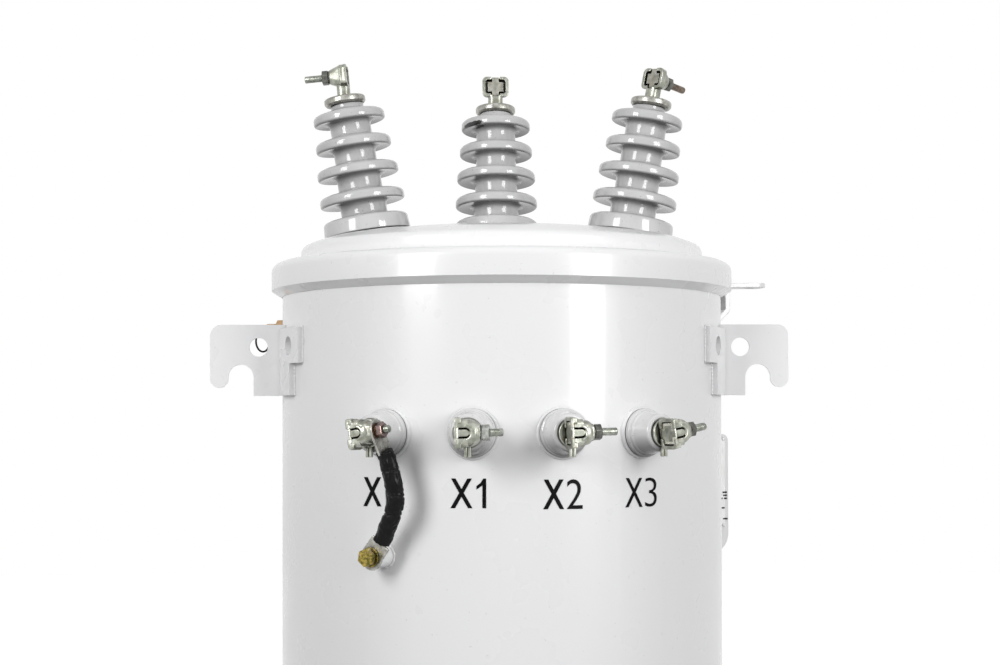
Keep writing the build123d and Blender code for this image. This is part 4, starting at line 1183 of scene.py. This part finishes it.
def allBeads(s):
    beads = bmesh.new()
    for sign in (-1, 1):
        for n, line in enumerate(lugBeads(sign, s)):
            join(beads, weldBead(line, 1.4, seed=n))
        bend = sign * s["lugBend"] + s["lugTurned"]
        line = wallLine(bend, tankTop - s["bendLow"], tankTop - s["bendTop"], 1.5)
        join(beads, weldBead(line, 2.4, seed=9))
    bossCentre = (strapSet["bossAzimuth"], tankTop - strapSet["bossDrop"])
    join(beads, weldBead(wallRing(bossCentre, s["bossRing"], 0.2), 1.8, closed=True, seed=3))
    padCentre = (s["padAzimuth"], s["padHeight"])
    join(beads, weldBead(wallRing(padCentre, s["padRing"], 0.3), 2.8, closed=True, seed=4))
    for drop in (s["hangerDrop"], s["hangerDrop"] + s["hangerApart"]):
        middle = tankTop - drop
        for edge in (180 - s["hangerEdge"], 180 + s["hangerEdge"]):
            side = wallLine(edge, middle + s["hangerHalf"], middle - s["hangerHalf"], 0.5)
            join(beads, weldBead(side, 3.4, seed=5))
    low, top = tankTop - s["bracketLow"], tankTop - s["bracketTop"]
    for edge in s["bracketEdges"]:
        join(beads, weldBead(wallLine(edge, low, top, 0.8), 2.2, seed=6))
    join(beads, weldBead(wallArc(*s["bracketEdges"], low, 0.8), 2.2, seed=7))
    seam = wallLine(s["seamAzimuth"], s["seamLow"], tankTop - s["seamTop"], -0.4)
    join(beads, weldBead(seam, 2.4, seed=8))
    return beads


finish("weldBeads", allBeads(weldSet), enamel, sharp=80)
print("weld beads laid")


# nameplate: rules, rows and rivets

plateSet = {
    "azimuth": 112.0, "top": 226.0, "tall": 176.0, "reach": 66.0, "footUp": 34.0, "sheet": 1.2,
    # how far under the top edge each printed row stands, and how far it reaches
    "rows": [(16, 40), (26, 44), (40, 42), (54, 40), (68, 43), (86, 63), (90.5, 63), (95, 63),
             (109, 59), (125, 64), (134, 50)],
}


def plateMarks(s):
    # printed rows of short bars where the ratings would stand
    marks = bmesh.new()
    top = tankTop - s["top"]
    random.seed(11)
    front = -s["sheet"] - 0.15
    for drop, reach in s["rows"]:
        x = reach
        while x > 16:
            long = random.uniform(5, 10)
            join(marks, block(long, 0.2, 2.2, 0.05, 1), move(tankRadius + x - long / 2, front, top - drop))
            x -= long + random.uniform(2, 4)
    return marks


def plateRivets(s):
    rivets = bmesh.new()
    top = tankTop - s["top"]
    low = top - s["tall"] + s["footUp"]
    for x in (-s["reach"] / 2 + 9, s["reach"] / 2 - 9):
        for z in (low + 7.5, top - 7.5):
            head = lathe([(0, 1.6), (1.6, 1.4), (2.8, 0.0)], steps=20)
            join(rivets, head, move(tankRadius + s["reach"] / 2 + x, -s["sheet"], z) @ turn(90, "X"))
    return rivets


platePlace = wallPlace(plateSet["azimuth"], 0, 0)
finish("plateMarks", plateMarks(plateSet), stencilInk(), platePlace, sharp=180)
sheet = plateSheet()
finish("plateRivets", plateRivets(plateSet), sheet, platePlace)
print("nameplate printed")


# band bolt and relief valve

bandSet = {"azimuth": 205.0, "drop": 13.0, "out": 31.0, "split": 14.0, "ear": 8.0}


def bandBolt(s):
    grip = s["split"] / 2 + s["ear"]
    bolt = rod(6.2, 2 * grip + 12, 0.6, 32)
    bmesh.ops.translate(bolt, vec=(0, 0, -grip - 12), verts=bolt.verts)
    join(bolt, hexNut(19.0, 8.0), move(0, 0, grip))
    join(bolt, hexNut(19.0, 11.0), move(0, 0, -grip - 11))
    join(bolt, thread(6.35, 8, 1.95, 0.6), move(0, 0, -grip - 11) @ turn(180, "X"))
    return bolt


bandBoltPlace = (wallPlace(bandSet["azimuth"], tankRadius + bandSet["out"], tankTop - bandSet["drop"])
                 @ turn(90, "X"))
zincSteel = plainScrew("bright zinc plated steel", "C6C8CB", "A7AAAE", "33363A")
finish("bandBolt", bandBolt(bandSet), zincSteel, bandBoltPlace,
       ["cover_band_bolt"], sharp=30)
paint([nodes["relief_valve"]], machinedBrass())
paint([nodes["relief_valve_ring"]], ringWire())


# the construction solids that stay, each with its finish

paint([nodes["nameplate"]], sheet)
paint([nodes["core_and_oil"]], oilAndCore())
paint([nodes["hv_gaskets"]], rubber)
paint([nodes["tank_wall"]], enamel)


def spunNormals(data):
    # the cover and its band were spun, so their faces look straight away from the tank's axis
    normals = []
    for corner, loop in zip(data.corner_normals, data.loops):
        normal = corner.vector.copy()
        away = data.vertices[loop.vertex_index].co * Vector((1, 1, 0))
        level = normal * Vector((1, 1, 0))
        if level.length > 0.02 and away.length > 0.02:
            straight = level.normalized().dot(away.normalized())
            if abs(straight) > 0.97:
                normal = away.normalized() * math.copysign(level.length, straight) + Vector((0, 0, normal.z))
        normals.append(normal)
    data.normals_split_custom_set(normals)


bracketSet = {"longer": 1.15, "lift": 2.0}


def drawBracket(shape, s):
    # the bent strip stands a little further out than the bare sheet, with its weld and paint
    for vertex in shape.verts:
        reach = math.hypot(vertex.co.x, vertex.co.y)
        if reach > tankRadius + 1:
            stretch = (tankRadius + (reach - tankRadius) * s["longer"]) / reach
            vertex.co = (vertex.co.x * stretch, vertex.co.y * stretch, vertex.co.z)
            vertex.co.z += s["lift"] * min(1, (reach - tankRadius) / 60)


for name in ("cover", "cover_band"):
    piece = finish("enamelled." + name, copyOf(name), enamel, stands=[name], sharp=30)
    spunNormals(piece.data)
for name in ("tank_bottom", "ground_boss", "ground_pad", "lifting_lug_left", "lifting_lug_right",
             "arrester_bracket", "nameplate_holder", "pole_hanger_upper", "pole_hanger_lower"):
    shape = copyOf(name)
    if name == "arrester_bracket":
        drawBracket(shape, bracketSet)
    piece = finish("enamelled." + name, shape, enamel, stands=[name], sharp=30)
    soften = piece.modifiers.new("soften", "BEVEL")
    soften.width = 0.7 * mm
    soften.segments = 2
    soften.limit_method = "ANGLE"
    soften.angle_limit = math.radians(35)
    level = piece.modifiers.new("level", "WEIGHTED_NORMAL")
    level.weight = 100
    level.keep_sharp = True
print("finishes set")
